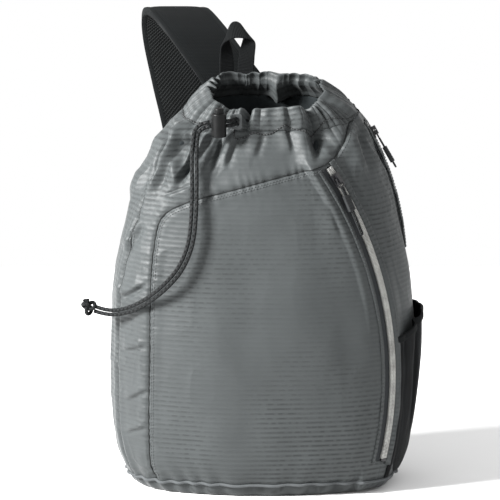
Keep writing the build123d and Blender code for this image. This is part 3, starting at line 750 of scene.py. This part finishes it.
def build_base():
    """Flat bottom whose edge turns up to the piped seam."""
    phi = full_turn(RING)
    edge = base_point(phi, np.zeros(RING))
    rings = []
    for k in np.linspace(0, 1, 24)[1:]:
        rings.append(edge * [k * 0.97, k * 0.97, 0] + [0, 0, BOTTOM_Z])
    high = surface(phi, np.full(RING, BASE_Z - 1.5), -1.0)
    for t in np.linspace(0.15, 1, 9):
        mix = math.sin(t * math.pi / 2)
        ring = edge * (1 - mix) * 0.98 + high * mix
        ring[:, 2] = BOTTOM_Z + (BASE_Z - 1.6) * (1 - math.cos(t * math.pi / 2))
        rings.append(ring)
    points = np.concatenate([[[0, 0, BOTTOM_Z]]] + rings)
    faces = [tuple(1 + f) for f in grid_faces(len(rings), RING, wrap_columns=True)]
    faces += [(0, 1 + i, 1 + (i + 1) % RING) for i in range(RING)]
    # painted shade: the base cloth takes the darker copy of the ripstop
    new_sheet("base_cloth", points, faces, GREY_SHADED, points[:, :2], "base_panel")
    line = surface(phi, np.full(RING, BASE_Z), 0.9)
    out = unit(line * [1, 1, 0])
    up = np.tile([0, 0, 1.0], (RING, 1))
    piping = ribbon("base_piping_cord", line, out, up, rounded_profile(PIPING_W, PIPING_T, 0, 4),
                    PIPING, closed=True)
    fit(piping, "bag", "base_piping")


# one stitch at five places along it: how far along, its height in mm and its relative girth
STITCH_AT = np.array([0, 0.15, 0.5, 0.85, 1.0])
STITCH_LIFT = np.array([-0.25, 0.12, 0.24, 0.12, -0.25])
STITCH_GIRTH = np.array([0.5, 1, 1.1, 1, 0.5])


def stitches(name, line, out_vector, length=2.4, gap=1.1, radius=0.28, material=THREAD):
    """A row of thread stitches along a line, as one piece."""
    run = running_length(line)
    count = int(run[-1] / (length + gap))
    starts = (np.arange(count) + 0.15) * (length + gap)
    at = starts[:, None] + STITCH_AT * length
    centre = interp_points(at, run, line)
    side, normal = frame_along(centre, interp_points(at, run, out_vector), axis=1)
    centre = centre + normal * STITCH_LIFT[:, None]
    obj = new_tubes(name, centre, side, normal, radius * STITCH_GIRTH[:, None, None], material)
    fit(obj, "bag")


def on_front(x, z, out=0.0):
    """Wrinkled surface points for places given as x and z on the front."""
    x, z = np.asarray(x, float), np.asarray(z, float)
    h = z.copy()
    for _ in range(6):
        p = base_point(phi_at_x(x, np.clip(h, 0, RIM_H)), np.clip(h, 0, RIM_H))
        h = h + (z - p[..., 2])
    h = np.clip(h, 0, RIM_H)
    return surface(phi_at_x(x, h), h, out)


def outward(p):
    """Rough outward direction of the body at a point."""
    return unit(p * [0.55, 1.2, 0])


def offset_line(line, distance):
    """A line beside another in its own plane, by distance to its left."""
    along = unit(np.gradient(line, axis=0))
    return line + distance * stack(-along[:, 1], along[:, 0])


def seam_line(name, points, width=1.3):
    """The dark shadow line where two panels are sewn and turned in."""
    obj = ribbon(name, points, *frame_along(points, outward(points)),
                 rounded_profile(width, 0.9, 0, 4), SEAM)
    fit(obj, "bag")


PANEL_LINE = catmull(PANEL_SEAM, 420)[:, :2]
RISE_LINE = catmull(SIDE_RISE, 60)[:, :2]


def on_side_seam(z, y, side, out):
    """Wrinkled surface points up a side seam at depth y."""
    return surface(phi_at_y(side_seam_y(z, y, side), z, side), z, out)


def build_seam_lines():
    """The sewn joins between the panels."""
    for name, line in (("panel_seam", PANEL_LINE), ("shoulder_seam", RISE_LINE)):
        seam_line(name, on_front(line[:, 0], line[:, 1], 0.25))
    z = np.linspace(16, 404, 340)
    for name, end, side in UPRIGHT_SEAMS:
        seam_line(f"{name}_seam", on_side_seam(z, end * SEAM_Y, side, 0.2), 1.7)


def build_seam_stitches():
    """Topstitching beside the joins."""
    for name, seam, distance in (("panel_topstitch_0", PANEL_LINE, -3.0),
                                 ("panel_topstitch_1", PANEL_LINE, -5.2),
                                 ("shoulder_topstitch", RISE_LINE, -3.0)):
        line = offset_line(seam, distance)
        p = on_front(line[:, 0], line[:, 1], 0.35)
        stitches(name, p, outward(p))
    z = np.linspace(22, 396, 300)
    for name, end, side in UPRIGHT_SEAMS:
        p = on_side_seam(z, end * (SEAM_Y + 3.5), side, 0.35)
        stitches(f"{name}_topstitch", p, outward(p))


# --- mouth band
BAND_UP = np.array([0, -math.sin(RIM_TILT), math.cos(RIM_TILT)])
BAND_H = 24.5
BAND_ROWS = 20
BAND_COUNT = 3 * RING
MOUTH_CENTRE = np.array([6, 5, RIM_H])
LINING_FLOOR_Z = 7.0


def build_band():
    """Gathered cloth tunnel round the mouth, from its seam over the top and down inside."""
    phi = full_turn(BAND_COUNT)
    ring = base_point(phi, np.full(BAND_COUNT, RIM_H))
    bottom = surface(phi, np.full(BAND_COUNT, RIM_H))
    inward = unit((MOUTH_CENTRE - ring) * [1, 1, 0.0])
    uneven = gather_strength(ring)
    small = bulges(phi, ring, *SMALL_GATHERS) * uneven
    middle = bulges(phi, ring, *MIDDLE_GATHERS) * uneven
    large = bulges(phi, ring, 11, 2.6, 17, 50)
    is_front = ring[:, 1] < 0
    is_back = ring[:, 1] > 0
    notch = bump(ring[:, 0], -18.5, 4.5) * is_front
    hollow = bump(ring[:, 0], -38, 13) * is_front
    fold_back = bump(ring[:, 0], 21, 9) * is_back
    drawn_in = 12 * smoothstep(-35, -80, ring[:, 0]) + 17 * smoothstep(50, 95, ring[:, 0])
    height = BAND_H + 2.6 * large + 1.6 * middle + 1.4 * lumps(ring, 26, 12)
    height = height - 11 * notch - 3.5 * hollow - 4 * fold_back + 2.0 * is_back
    outside = np.linspace(0, 1, BAND_ROWS)
    inside = np.linspace(1, -0.05, BAND_ROWS)
    # share of the height, and 0 for the outer wall, 1 for the inner
    steps = [(s, 0) for s in outside] + [(1.02, 0.5)] + [(s, 1) for s in inside]
    points = np.zeros((len(steps), BAND_COUNT, 3))
    for i, (s, wall) in enumerate(steps):
        tunnel = math.exp(-((s - 0.55) / 0.28) ** 2)
        gap = 1.8 + 5.0 * tunnel
        lean = (5.0 + 11.0 * np.cos(phi) ** 4 + 3.0 * np.maximum(np.cos(phi), 0)) * s
        lean = lean + 1.5 * s**2 + drawn_in * max(s, 0.0) ** 1.3
        crease = (1.2 + 0.8 * s) * small + (2.2 + 2.4 * s) * middle + 3.2 * s * large
        crease = crease + 1.1 * lumps(ring + BAND_UP * s * 30, 11, 13)
        crease = crease + 0.7 * lumps(ring + BAND_UP * s * 30, 5.5, 14)
        crease = crease * (1 - 0.75 * (1 - s) ** 6)
        crease = crease - (9 * notch + 5 * hollow) * (0.25 + 0.75 * s)
        puff = 1.8 * tunnel if wall == 0 else 0
        offset = lean - crease - puff + wall * gap * (1 + 0.5 * middle)
        offset = offset + fold_back * wall * 15 * (1 - 0.4 * s)
        rise = height * s - fold_back * wall * 8 * (1 - s)
        points[i] = bottom + inward * offset[:, None] + BAND_UP * rise[:, None]
    points[0] = bottom - inward * 0.2
    arc = running_length(ring)
    faces = grid_faces(len(steps), BAND_COUNT, wrap_columns=True)
    depth = np.array([s * 25 + (1 - s) * 50 * (wall > 0.6) for s, wall in steps])
    new_sheet("mouth_band", points, faces, GREY, stack(arc * 1.5, depth[:, None]),
              "drawcord_channel", BAND_CLOTH_T)
    line = band_seam(phi, ring, points, 3.0 * lumps(ring, 18, 19) + 1.6 * middle)
    seam_line("band_seam", line, 1.5)
    stitches("band_stitches", line - inward * 0.4, -inward, 2.6, 0.7, 0.42, DARK_THREAD)
    build_loop_cord((points[11] + points[30]) / 2)
    return points


# the band seam along the front: x, height above the rim
GARLAND = [(-120, 0), (-60, 1), (-33, 6), (-26, -9), (-8, -2), (8, -5), (25, 6), (40, 0), (54, -4),
           (72, 8), (88, 7), (104, 0), (140, 0)]


def band_seam(phi, ring, points, uneven):
    """The band's seam: a row of puckers that rides up on the band and dips on the panel."""
    x, dip = np.array(GARLAND, float).T
    rise = np.where(ring[:, 1] < 0, np.interp(ring[:, 0], x, dip) + 0.5 * uneven, uneven)
    rise = smooth_ring(rise, 5)
    low = surface(phi, RIM_H + np.minimum(rise, 0), 0.5)
    row = np.clip(rise, 0, None) / BAND_H * (BAND_ROWS - 1)
    index = row.astype(int)
    share = (row - index)[:, None]
    column = np.arange(len(phi))
    high = points[index, column] * (1 - share) + points[index + 1, column] * share
    return np.where(rise[:, None] > 0, high, low)


def smooth_ring(values, reach):
    """Running mean round a closed ring."""
    shifts = range(-reach, reach + 1)
    return sum(np.roll(values, shift) for shift in shifts) / len(shifts)


def build_loop_cord(line):
    """The drawcord's hidden part, round the mouth inside the tunnel."""
    obj = cord_curve("cord_in_tunnel", [tuple(v) for v in line[::9]], 1.6, CORD, 4)
    obj.data.splines[0].use_endpoint_u = False
    obj.data.splines[0].use_cyclic_u = True
    fit(obj, "bag", "drawcord_loop")


def build_lining(band_points):
    """Dark inside of the bag, from the band's inner edge down."""
    phi = full_turn(RING)
    rows = []
    for h in np.concatenate([np.linspace(404, 330, 14), np.linspace(310, 8, 16)]):
        ring = surface(phi, np.full(RING, h))
        room = 5.5 + 8.0 * smoothstep(405, 388, h) + 0.8 * lumps(ring, 30, 22)
        ring = ring - unit((ring - [7, 5, 0]) * [1, 1, 0]) * room[:, None]
        rows.append(ring)
    rows = [band_points[-1][::3] - [0, 0, 0.5]] + rows
    rows.append(rows[-1] * [0.8, 0.8, 1])
    floor = base_point(phi, np.full(RING, 8.0), -9.0)
    rows += [floor * [k, k, 0] + [0, 0, LINING_FLOOR_Z] for k in (0.55, 0.3, 0.05)]
    points = np.concatenate(rows)
    faces = grid_faces(len(rows), RING, wrap_columns=True)
    new_sheet("lining_bag", points, faces, LINING, points[:, [0, 2]], "main_lining")


# --- zippers
def zip_frame(centre, radius, y, tilt, degrees_at):
    """Points on the zipper's arc, with across, outward and up-the-arc directions."""
    a = np.radians(degrees_at)
    radial = stack(np.cos(a), 0, np.sin(a))
    point = np.array([centre[0], y, centre[1]]) + radial * radius
    across = radial * math.cos(tilt) + np.array([0, math.sin(tilt), 0])
    out = radial * math.sin(tilt) - np.array([0, math.cos(tilt), 0])
    up = stack(-np.sin(a), 0, np.cos(a))
    return point, across, out, up


COIL_PITCH = 1.55
COIL_WIRE = 0.56
COIL_REACH = 3.6
COIL_TOP = 2.6
TAPE_W = 13.4
TAPE_CENTRE = 7.2
EDGE_COUNT = 240
# the cloth edge beside the coil: distance from it, width, height, height of its stitches
WIDE_EDGE = (12.4, 4.6, 1.2, 2.2)
CLOSE_EDGE = (8.0, 7.8, 2.0, 3.15)


def build_zipper(name, centre, radius, y, tilt, span, labels, replaced):
    """Coil teeth as real loops, and folded cloth edges on both sides."""
    count = int(math.radians(span[1] - span[0] - 1.0) * radius / COIL_PITCH)
    angles = np.linspace(span[0] + 0.5, span[1] - 0.5, count)
    t = np.linspace(0, 1, 12)
    for side, label in zip((-1, 1), labels):
        shift = 0.0 if side < 0 else 0.5 * (angles[1] - angles[0])
        point, across, out, up = zip_frame(centre, radius, y, tilt, angles + shift)
        # one coil: a flattened loop, from the tape out to the parting line and back
        reach = side * (COIL_REACH - 3.3 * np.sin(t * np.pi) ** 0.8)
        climb = 0.7 + 1.9 * smoothstep(0.0, 0.5, t)
        height = np.where(t > 0.5, COIL_TOP - 0.1 * (t - 0.5), climb)
        slide = (t - 0.5) * COIL_PITCH * 0.55
        line = (point[:, None] + across[:, None] * reach[None, :, None]
                + out[:, None] * height[None, :, None] + up[:, None] * slide[None, :, None])
        along = unit(np.gradient(line, axis=1))
        side_dir = unit(np.cross(along, np.broadcast_to(up[:, None], along.shape)))
        coil = new_tubes(f"{name}_coil_{label}", line, side_dir, np.cross(along, side_dir),
                         COIL_WIRE, COIL)
        fit(coil, "bag", f"{replaced}_teeth_{label}")
        fine = np.linspace(span[0] - 0.4, span[1] + 0.4, EDGE_COUNT)
        point, across, out, up = zip_frame(centre, radius, y, tilt, fine)
        wobble = 0.35 * np.cos(np.linspace(0, 34, EDGE_COUNT))
        wobble = wobble + 0.3 * np.cos(np.linspace(2, 61, EDGE_COUNT))
        seat, width, lift, thread_lift = WIDE_EDGE if label == "inner" else CLOSE_EDGE
        middle = point + across * (side * (seat + 0.3 * wobble))[:, None]
        middle = middle + out * (lift + 0.6 * wobble)[:, None]
        welt = ribbon(f"{name}_edge_{label}", middle, across, out,
                      rounded_profile(width, 1.5, 0.5, 10), GREY)
        fit(welt, "bag")
        row = point + across * (side * (seat + 0.25 * width)) + out * thread_lift
        stitches(f"{name}_stitch_{label}", row, out)
        tape = ribbon(f"{name}_tape_{label}_cloth", point + across * (side * TAPE_CENTRE), across,
                      out, rounded_profile(TAPE_W, 0.9, 0, 12), TAPE)
        fit(tape, "bag", f"{replaced}_tape_{label}")


# --- mesh pocket
POCKET_FOOT = 17.0
POCKET_TOP = 171.0
POCKET_BACK_RISE = 20.0
POCKET_R = ZIP_R + 3.6
POCKET_W = 130


def build_mesh_pocket():
    """Stretched net from the front zipper's outer edge round to the right back seam."""
    rows, columns = 130, 150
    u, v = np.meshgrid(np.linspace(0, 1, columns), np.linspace(0, 1, rows))
    z = POCKET_FOOT + v * (POCKET_TOP - POCKET_FOOT)
    z = z + v * smoothstep(0.0, 0.55, u) * POCKET_BACK_RISE
    theta = np.arcsin(np.clip((z - ZIP_C[1]) / POCKET_R, -1, 1))
    phi_front = phi_at_x(ZIP_C[0] + POCKET_R * np.cos(theta), z)
    phi_back = phi_at_y(np.full_like(z, SEAM_Y - 1), z, 1)
    phi = phi_front + (phi_back - phi_front) * u
    flare = 1.5 + 9.0 * (z / 180) ** 1.2 * np.sin(np.clip(u * 1.04, 0, 1) * np.pi) ** 0.55
    lines = u * 15 + 1.6 * v + 1.1 * lumps(stack(u * 60, v * 90, 0), 30, 32)
    folds = 3.2 * (np.abs(np.sin(lines)) ** 0.6 - 0.65) * smoothstep(0.05, 0.9, v)
    folds += -4.0 * bump(u, 0.30 + 0.05 * v, 0.035) * smoothstep(0.05, 0.3, v)
    folds += 0.8 * lumps(stack(u * 90, v * 60, 0), 20, 31)
    p = base_point(phi, z)
    out = outward(p)
    stand = np.maximum(flare + folds * np.sin(np.clip(u, 0, 1) * np.pi) ** 0.4, 3.4)
    p = p + out * stand[..., None]
    at = np.degrees(np.arcsin((z - ZIP_C[1]) / ZIP_R))
    point, across, lift, _ = zip_frame(ZIP_C, ZIP_R, ZIP_Y, ZIP_TILT, at)
    seam = point + across * 8.8 + lift * 2.2
    seam = seam + across * (u * POCKET_W * 0.9)[..., None] + lift * (u * 20)[..., None]
    hold = smoothstep(0.13, 0.0, u)[..., None]
    p = p * (1 - hold) + seam * hold
    obj = new_sheet("pocket_net", p, grid_faces(rows, columns), POCKET_MESH,
                    stack(u * POCKET_W, v * 160), "mesh_pocket", NET_T)
    edge, normal = p[-1], out[-1]
    down, _ = frame_along(edge, normal)
    trim = ribbon("pocket_trim", edge + normal * 0.3 + down * 1.5, down, normal,
                  rounded_profile(8.0, 2.4, 0.3, 10), BINDING)
    fit(trim, "bag", "mesh_pocket_binding")


# --- cord
CORD_Z = 410.8
CORD_R = 2.2
SPLIT = 2.5
# the tails' shared route, and the way in which the two lie apart at each point
TAIL = [
    (-28, -46, CORD_Z), (-28, -66, CORD_Z), (-71, -66, CORD_Z),
    (-74, -73, 384), (-73.5, -86, 350), (-74, -93.5, 316), (-77, -99, 284),
    (-88, -102, 257), (-106, -101, 236), (-127, -89, 217), (-149, -72, 203),
    (-170, -61, 199), (-183, -57, 203),
]
ASIDE = [
    (0, 0, 1), (0, 0, 1), (-0.6, 0, 0.9), (-1, 0, 0.1), (-1, 0, 0), (-1, 0, 0), (-1, 0, 0.15),
    (-0.86, 0, 0.52), (-0.71, 0, 0.71), (-0.61, 0, 0.79), (-0.39, 0, 0.92), (0, 0, 1),
    (0.25, 0, 1),
]


def add_spline(curve, points):
    """One more NURBS spline, with control points in mm."""
    spline = curve.splines.new("NURBS")
    spline.points.add(len(points) - 1)
    for control, point in zip(spline.points, points):
        control.co = (*(Vector(point) * MM), 1)
    spline.order_u = 3
    spline.use_endpoint_u = True


def cord_curve(name, points, radius, material, resolution=8):
    """A smooth round cord with points as its control points."""
    curve = bpy.data.curves.new(name, "CURVE")
    curve.dimensions = "3D"
    curve.bevel_depth = radius * MM
    curve.bevel_resolution = 5
    curve.use_fill_caps = True
    curve.resolution_u = resolution
    add_spline(curve, points)
    curve.materials.append(material)
    return link_object(name, curve)


def build_cords():
    """The drawcord's two tails, down from the cord lock to their knot."""
    knot = build_knot()
    for side, label, length in ((1, "outer", 0.341), (-1, "inner", 0.336)):
        points = [tuple(p + side * SPLIT * d for p, d in zip(point, aside))
                  for point, aside in zip(TAIL, ASIDE)]
        obj = cord_curve(f"cord_tail_{label}", points, CORD_R, CORD, 16)
        fit(obj, "bag", f"drawcord_tail_{label}")
        tuple(v * MM for v in points[0])


def build_knot():
    """Both strands tied in one overhand knot, with two cut stubs."""
    t = np.linspace(0, 2 * np.pi, 26)[:-1]
    centre = np.array([-189.5, -56.5, 204.5])
    loop = stack(2.8 * np.sin(t) + 4.7 * np.sin(2 * t), -3.8 * np.sin(3 * t),
                 2.8 * np.cos(t) - 4.7 * np.cos(2 * t))
    knot = cord_curve("tail_knot", [tuple(p) for p in centre + loop], 2.1, CORD, 6)
    knot.data.splines[0].use_cyclic_u = True
    for shift, lean in (((-3.5, 0, 4), (-5, 1, 9)), ((-1.5, -2, 5), (-1.5, -3, 9.5))):
        start, end = centre + np.array(shift), centre + np.array(lean)
        add_spline(knot.data, (start, (start + end) / 2 + [0.4, 0, 0], end))
    fit(knot, "bag", "cord_knot")
    return knot


# --- straps
# centre line from the mouth over and down the back: x, y, z, half width
STRAP = [
    (-28.5, 97.5, 417.5, 35.5), (-30, 100, 424, 36), (-40, 104, 438, 36),
    (-56, 112, 458, 35), (-75, 127, 481, 34.5),
    (-93, 149, 496, 33.5), (-102, 170, 487, 32), (-101, 182, 455, 31), (-92, 186, 405, 30),
    (-80, 185, 350, 30), (-71, 179, 280, 30), (-65, 165, 210, 28), (-62, 146, 150, 20),
]
BINDING_W = 6.0
PAD_HALF = 2.4
FACE_IN = 2.5
FACE_OUT = 3.7
EDGE_HALF = 4.1


def strap_layer(name, node, low, high, kind, material):
    """One layer of the padded strap; depth grows from the outer face to the wearer's side."""
    line = catmull(STRAP, 260)
    centre, half = line[:, :3], line[:, 3]
    along = np.gradient(centre, axis=0)
    along[:, 0] = 0
    across = np.tile([1.0, 0, 0], (len(centre), 1))
    depth = unit(np.cross(along, across))
    s = np.linspace(-1, 1, 40)
    rows = []
    for i, w in enumerate(half):
        ripple = 0.5 * math.cos(i * 0.21) + 0.35 * math.cos(i * 0.47 + 1)
        if kind == "left":
            xs, crown = -w + BINDING_W * (s + 1) / 2, 0.35 * (1 - s**2)
        elif kind == "right":
            xs, crown = w - BINDING_W * (1 - s) / 2, 0.35 * (1 - s**2)
        else:
            xs = (w - BINDING_W * 0.55) * s
            crown = 1.5 * (1 - np.abs(s) ** 5) * (1 + 0.12 * ripple)
        swell_out = crown if low < -FACE_IN else 0 * s
        swell_in = crown[::-1] if high > FACE_IN else 0 * s
        rows.append(np.concatenate([stack(xs, low - swell_out), stack(xs[::-1], high + swell_in)]))
    obj = ribbon(name, centre, across, depth, np.array(rows), material)
    fit(obj, "sling_strap", node)


def build_strap():
    """Outer cloth, foam, air mesh, and the tape bound over each edge."""
    strap_layer("strap_outer_face", "strap_cover", -FACE_OUT, -FACE_IN, "face", STRAP_FACE)
    strap_layer("strap_inner_mesh", "strap_mesh_lining", FACE_IN, FACE_OUT, "face", AIR_MESH)
    strap_layer("strap_pad", "strap_foam", -PAD_HALF, PAD_HALF, "pad", FOAM)
    for kind in ("left", "right"):
        strap_layer(f"strap_edge_{kind}", f"strap_binding_{kind}", -EDGE_HALF, EDGE_HALF, kind,
                    BINDING)


LOOP_HALF = 9.3
LOOP_THICKNESS = 1.8
LOOP_FRONT_EDGE = [
    (-47, 80, 409), (-47, 79.5, 440), (-46.5, 78, 460), (-44, 75, 472), (-34, 71.5, 479),
    (-26, 71, 480.5), (-15, 72, 479), (-7.5, 76, 474), (-8, 78.5, 458), (-9, 79.5, 440),
    (-9.5, 80, 409),
]
LOOP_REAR_EDGE = [
    (-31, 84, 409), (-31, 83.5, 440), (-32.5, 83.5, 462), (-37.5, 84, 482), (-35, 85, 493),
    (-30, 85.5, 496.5), (-24, 85, 494), (-20, 84, 483), (-25, 83.5, 462), (-27, 83.5, 440),
    (-27.5, 84, 409),
]


def build_grab_loop():
    """Webbing that leans together at its top, between its front and rear edges."""
    at = np.linspace(0, len(LOOP_FRONT_EDGE) - 1, 180)
    front = smooth_keys(LOOP_FRONT_EDGE, at)
    rear = smooth_keys(LOOP_REAR_EDGE, at)
    centre = (front + rear) / 2
    half = np.linalg.norm(front - rear, axis=1) / 2
    along = unit(np.gradient(centre, axis=0))
    across = unit(front - rear)
    normal = unit(np.cross(along, across))
    profile = rounded_profile(2.0, LOOP_THICKNESS / LOOP_HALF, 0, 14)
    profiles = stack(profile[:, 0] * half[:, None], profile[:, 1] * LOOP_HALF)
    loop = ribbon("carry_loop", centre, across, normal, profiles, WEBBING)
    fit(loop, "grab_loop", "grab_loop")


# --- carried-over CAD pieces
WELD_M = 0.00001
SHARP_ANGLE = math.radians(35)


def dress(node, body, material, bevel=0.25):
    """A rigid CAD piece with softened edges."""
    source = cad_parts[node]
    mesh = source.data.copy()
    obj = link_object(f"{node}_finished", mesh)
    mesh.materials.clear()
    mesh.materials.append(material)
    weld = obj.modifiers.new("weld", "WELD")
    weld.merge_threshold = WELD_M
    rounding = obj.modifiers.new("rounding", "BEVEL")
    rounding.width = bevel * MM
    rounding.segments = 3
    rounding.limit_method = "ANGLE"
    rounding.angle_limit = SHARP_ANGLE
    mesh.shade_smooth()
    normals = obj.modifiers.new("normals", "WEIGHTED_NORMAL")
    normals.keep_sharp = False
    fit(obj, body, node)


def paint(node, material):
    """A better material on a CAD piece that stays."""
    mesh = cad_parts[node].data
    mesh.materials.clear()
    mesh.materials.append(material)


FRONT_POUCH_LEFT = -104
FRONT_POUCH_Z = 24
FRONT_POUCH_H = 286
SIDE_POUCH_Z = 266
SIDE_POUCH_H = 100
BACK_PAD_Z = 40
BACK_PAD_H = 330


def build_pocket_bags():
    """Thin lining pouches behind the two zippers, and the foam pad in the back panel."""
    rows, columns = 60, 50
    faces = grid_faces(rows, columns)
    u, v = np.meshgrid(np.linspace(0, 1, columns), np.linspace(0, 1, rows))
    z = FRONT_POUCH_Z + v * FRONT_POUCH_H
    a = np.arcsin(np.clip((z - ZIP_C[1]) / ZIP_R, -1, 1))
    right = ZIP_C[0] + (ZIP_R - 10) * np.cos(a)
    x = FRONT_POUCH_LEFT + (right - FRONT_POUCH_LEFT) * u
    front = base_point(phi_at_x(x, z), z, -7.5)
    side_z = SIDE_POUCH_Z + v * SIDE_POUCH_H
    side = base_point(phi_at_y(-30 + 60 * u, side_z, 1), side_z, -9.0)
    for name, points, node in (("front_pouch", front, "front_pocket_bag"),
                               ("side_pouch", side, "side_pocket_bag")):
        new_sheet(name, points, faces, LINING, stack(u * 200, v * 280), node, LINING_T)
    z = BACK_PAD_Z + v * BACK_PAD_H
    half = smooth_rows(z, 1) * 0.62
    x = smooth_rows(z, 2) + half * (2 * u - 1)
    back = base_point(-phi_at_x(x, z), z, -10.0)
    pad = new_sheet("back_pad", back, faces, FOAM, stack(u * 200, v * 330),
                    "back_foam_pad", BACK_PAD_T, 1)


def dress_cad_pieces():
    """Every rigid piece, its body, slot and edge radius."""
    for name in ("front_zip", "side_zip"):
        side = name[:-4]
        dress(f"{name}_slider", f"{side}_slider", LACQUER, 0.4)
        dress(f"{name}_pull_tab", f"{side}_pull", LACQUER, 0.3)
        dress(f"{name}_pull_grip", f"{side}_pull", RUBBER, 0.5)
        dress(f"{name}_pull_cord", f"{side}_pull", PULL_CORD, 0.1)
        dress(f"{name}_bottom_stop", "bag", LACQUER, 0.3)
        dress(f"{name}_top_stops", "bag", PEWTER, 0.2)
    dress("cord_lock_barrel", "cord_lock", PLASTIC, 0.3)
    dress("cord_lock_plunger", "plunger", PLASTIC, 0.3)
    dress("ladder_lock", "sling_strap", PLASTIC, 0.6)
    for node, body in (("strap_end_webbing", "sling_strap"), ("adjuster_webbing", "sling_strap"),
                       ("strap_anchor", "bag"), ("strap_lower_anchor", "bag")):
        dress(node, body, WEBBING, 0.5)
    dress("cord_buttonhole", "bag", THREAD, 0.2)
    paint("cord_lock_spring", STEEL)


# --- studio
CAMERA_ELEVATION = math.radians(12)
CAMERA_DISTANCE = 8.0
CAMERA_TARGET = Vector((-0.0132, 0, 0.2565))
SENSOR_MM = 36
VIEW_WIDTH = 0.55
LIGHT_TARGET = Vector((0, 0, 0.22))
# name, place, size, watts
LIGHTS = (("key", (-2.1, -1.0, 1.5), (0.6, 0.8), 370),
          ("right_fill", (1.9, -0.35, 0.9), (0.9, 1.2), 6))
FLOOR = [(-1.6, -1.3, 0), (1.6, -1.3, 0), (1.6, 1.1, 0), (-1.6, 1.1, 0)]


def build_studio():
    """Camera, soft white surround, two area lights and a pale floor."""
    scene = bpy.context.scene
    camera = bpy.data.cameras.new("camera")
    camera.sensor_width = SENSOR_MM
    camera.lens = SENSOR_MM * CAMERA_DISTANCE / VIEW_WIDTH
    camera.clip_end = 50
    rig = link_object("camera", camera)
    direction = Vector((0, -math.cos(CAMERA_ELEVATION), math.sin(CAMERA_ELEVATION)))
    rig.location = CAMERA_TARGET + CAMERA_DISTANCE * direction
    rig.rotation_euler = (math.pi / 2 - CAMERA_ELEVATION, 0, 0)
    scene.camera = rig

    world = bpy.data.worlds.new("studio")
    world.use_nodes = True
    background = world.node_tree.nodes["Background"]
    background.inputs["Color"].default_value = (1, 1, 1, 1)
    background.inputs["Strength"].default_value = 1.0
    scene.world = world

    for name, place, size, watts in LIGHTS:
        light = bpy.data.lights.new(name, "AREA")
        light.shape = "RECTANGLE"
        light.size, light.size_y = size
        light.energy = watts
        obj = link_object(name, light)
        obj.location = place
        obj.rotation_euler = (LIGHT_TARGET - Vector(place)).to_track_quat("-Z", "Y").to_euler()

    floor_mesh = bpy.data.meshes.new("floor")
    floor_mesh.from_pydata(FLOOR, [], [(0, 1, 2, 3)])
    floor = link_object("floor", floor_mesh)
    paper = Shader("floor_paper", (0.78, 0.78, 0.78), 0.9, 0.05)
    paper.link(paper.tint(paper.noise(3.0, 2.0), (0.77, 0.77, 0.77), (0.79, 0.79, 0.79)),
               "Base Color")
    floor_mesh.materials.append(paper.material)
    scene.view_settings.view_transform = "Standard"


build_studio()
build_cords()
build_panels()
build_base()
build_seam_lines()
build_seam_stitches()
band = build_band()
build_lining(band)
build_zipper("front_zipper", ZIP_C, ZIP_R, ZIP_Y, ZIP_TILT, ZIP_SPAN, ("inner", "outer"),
             "front_zip")
build_zipper("side_zipper", SIDE_C, SIDE_R, SIDE_Y, math.pi / 2, SIDE_SPAN, ("front", "rear"),
             "side_zip")
build_mesh_pocket()
build_strap()
build_grab_loop()
build_pocket_bags()
dress_cad_pieces()
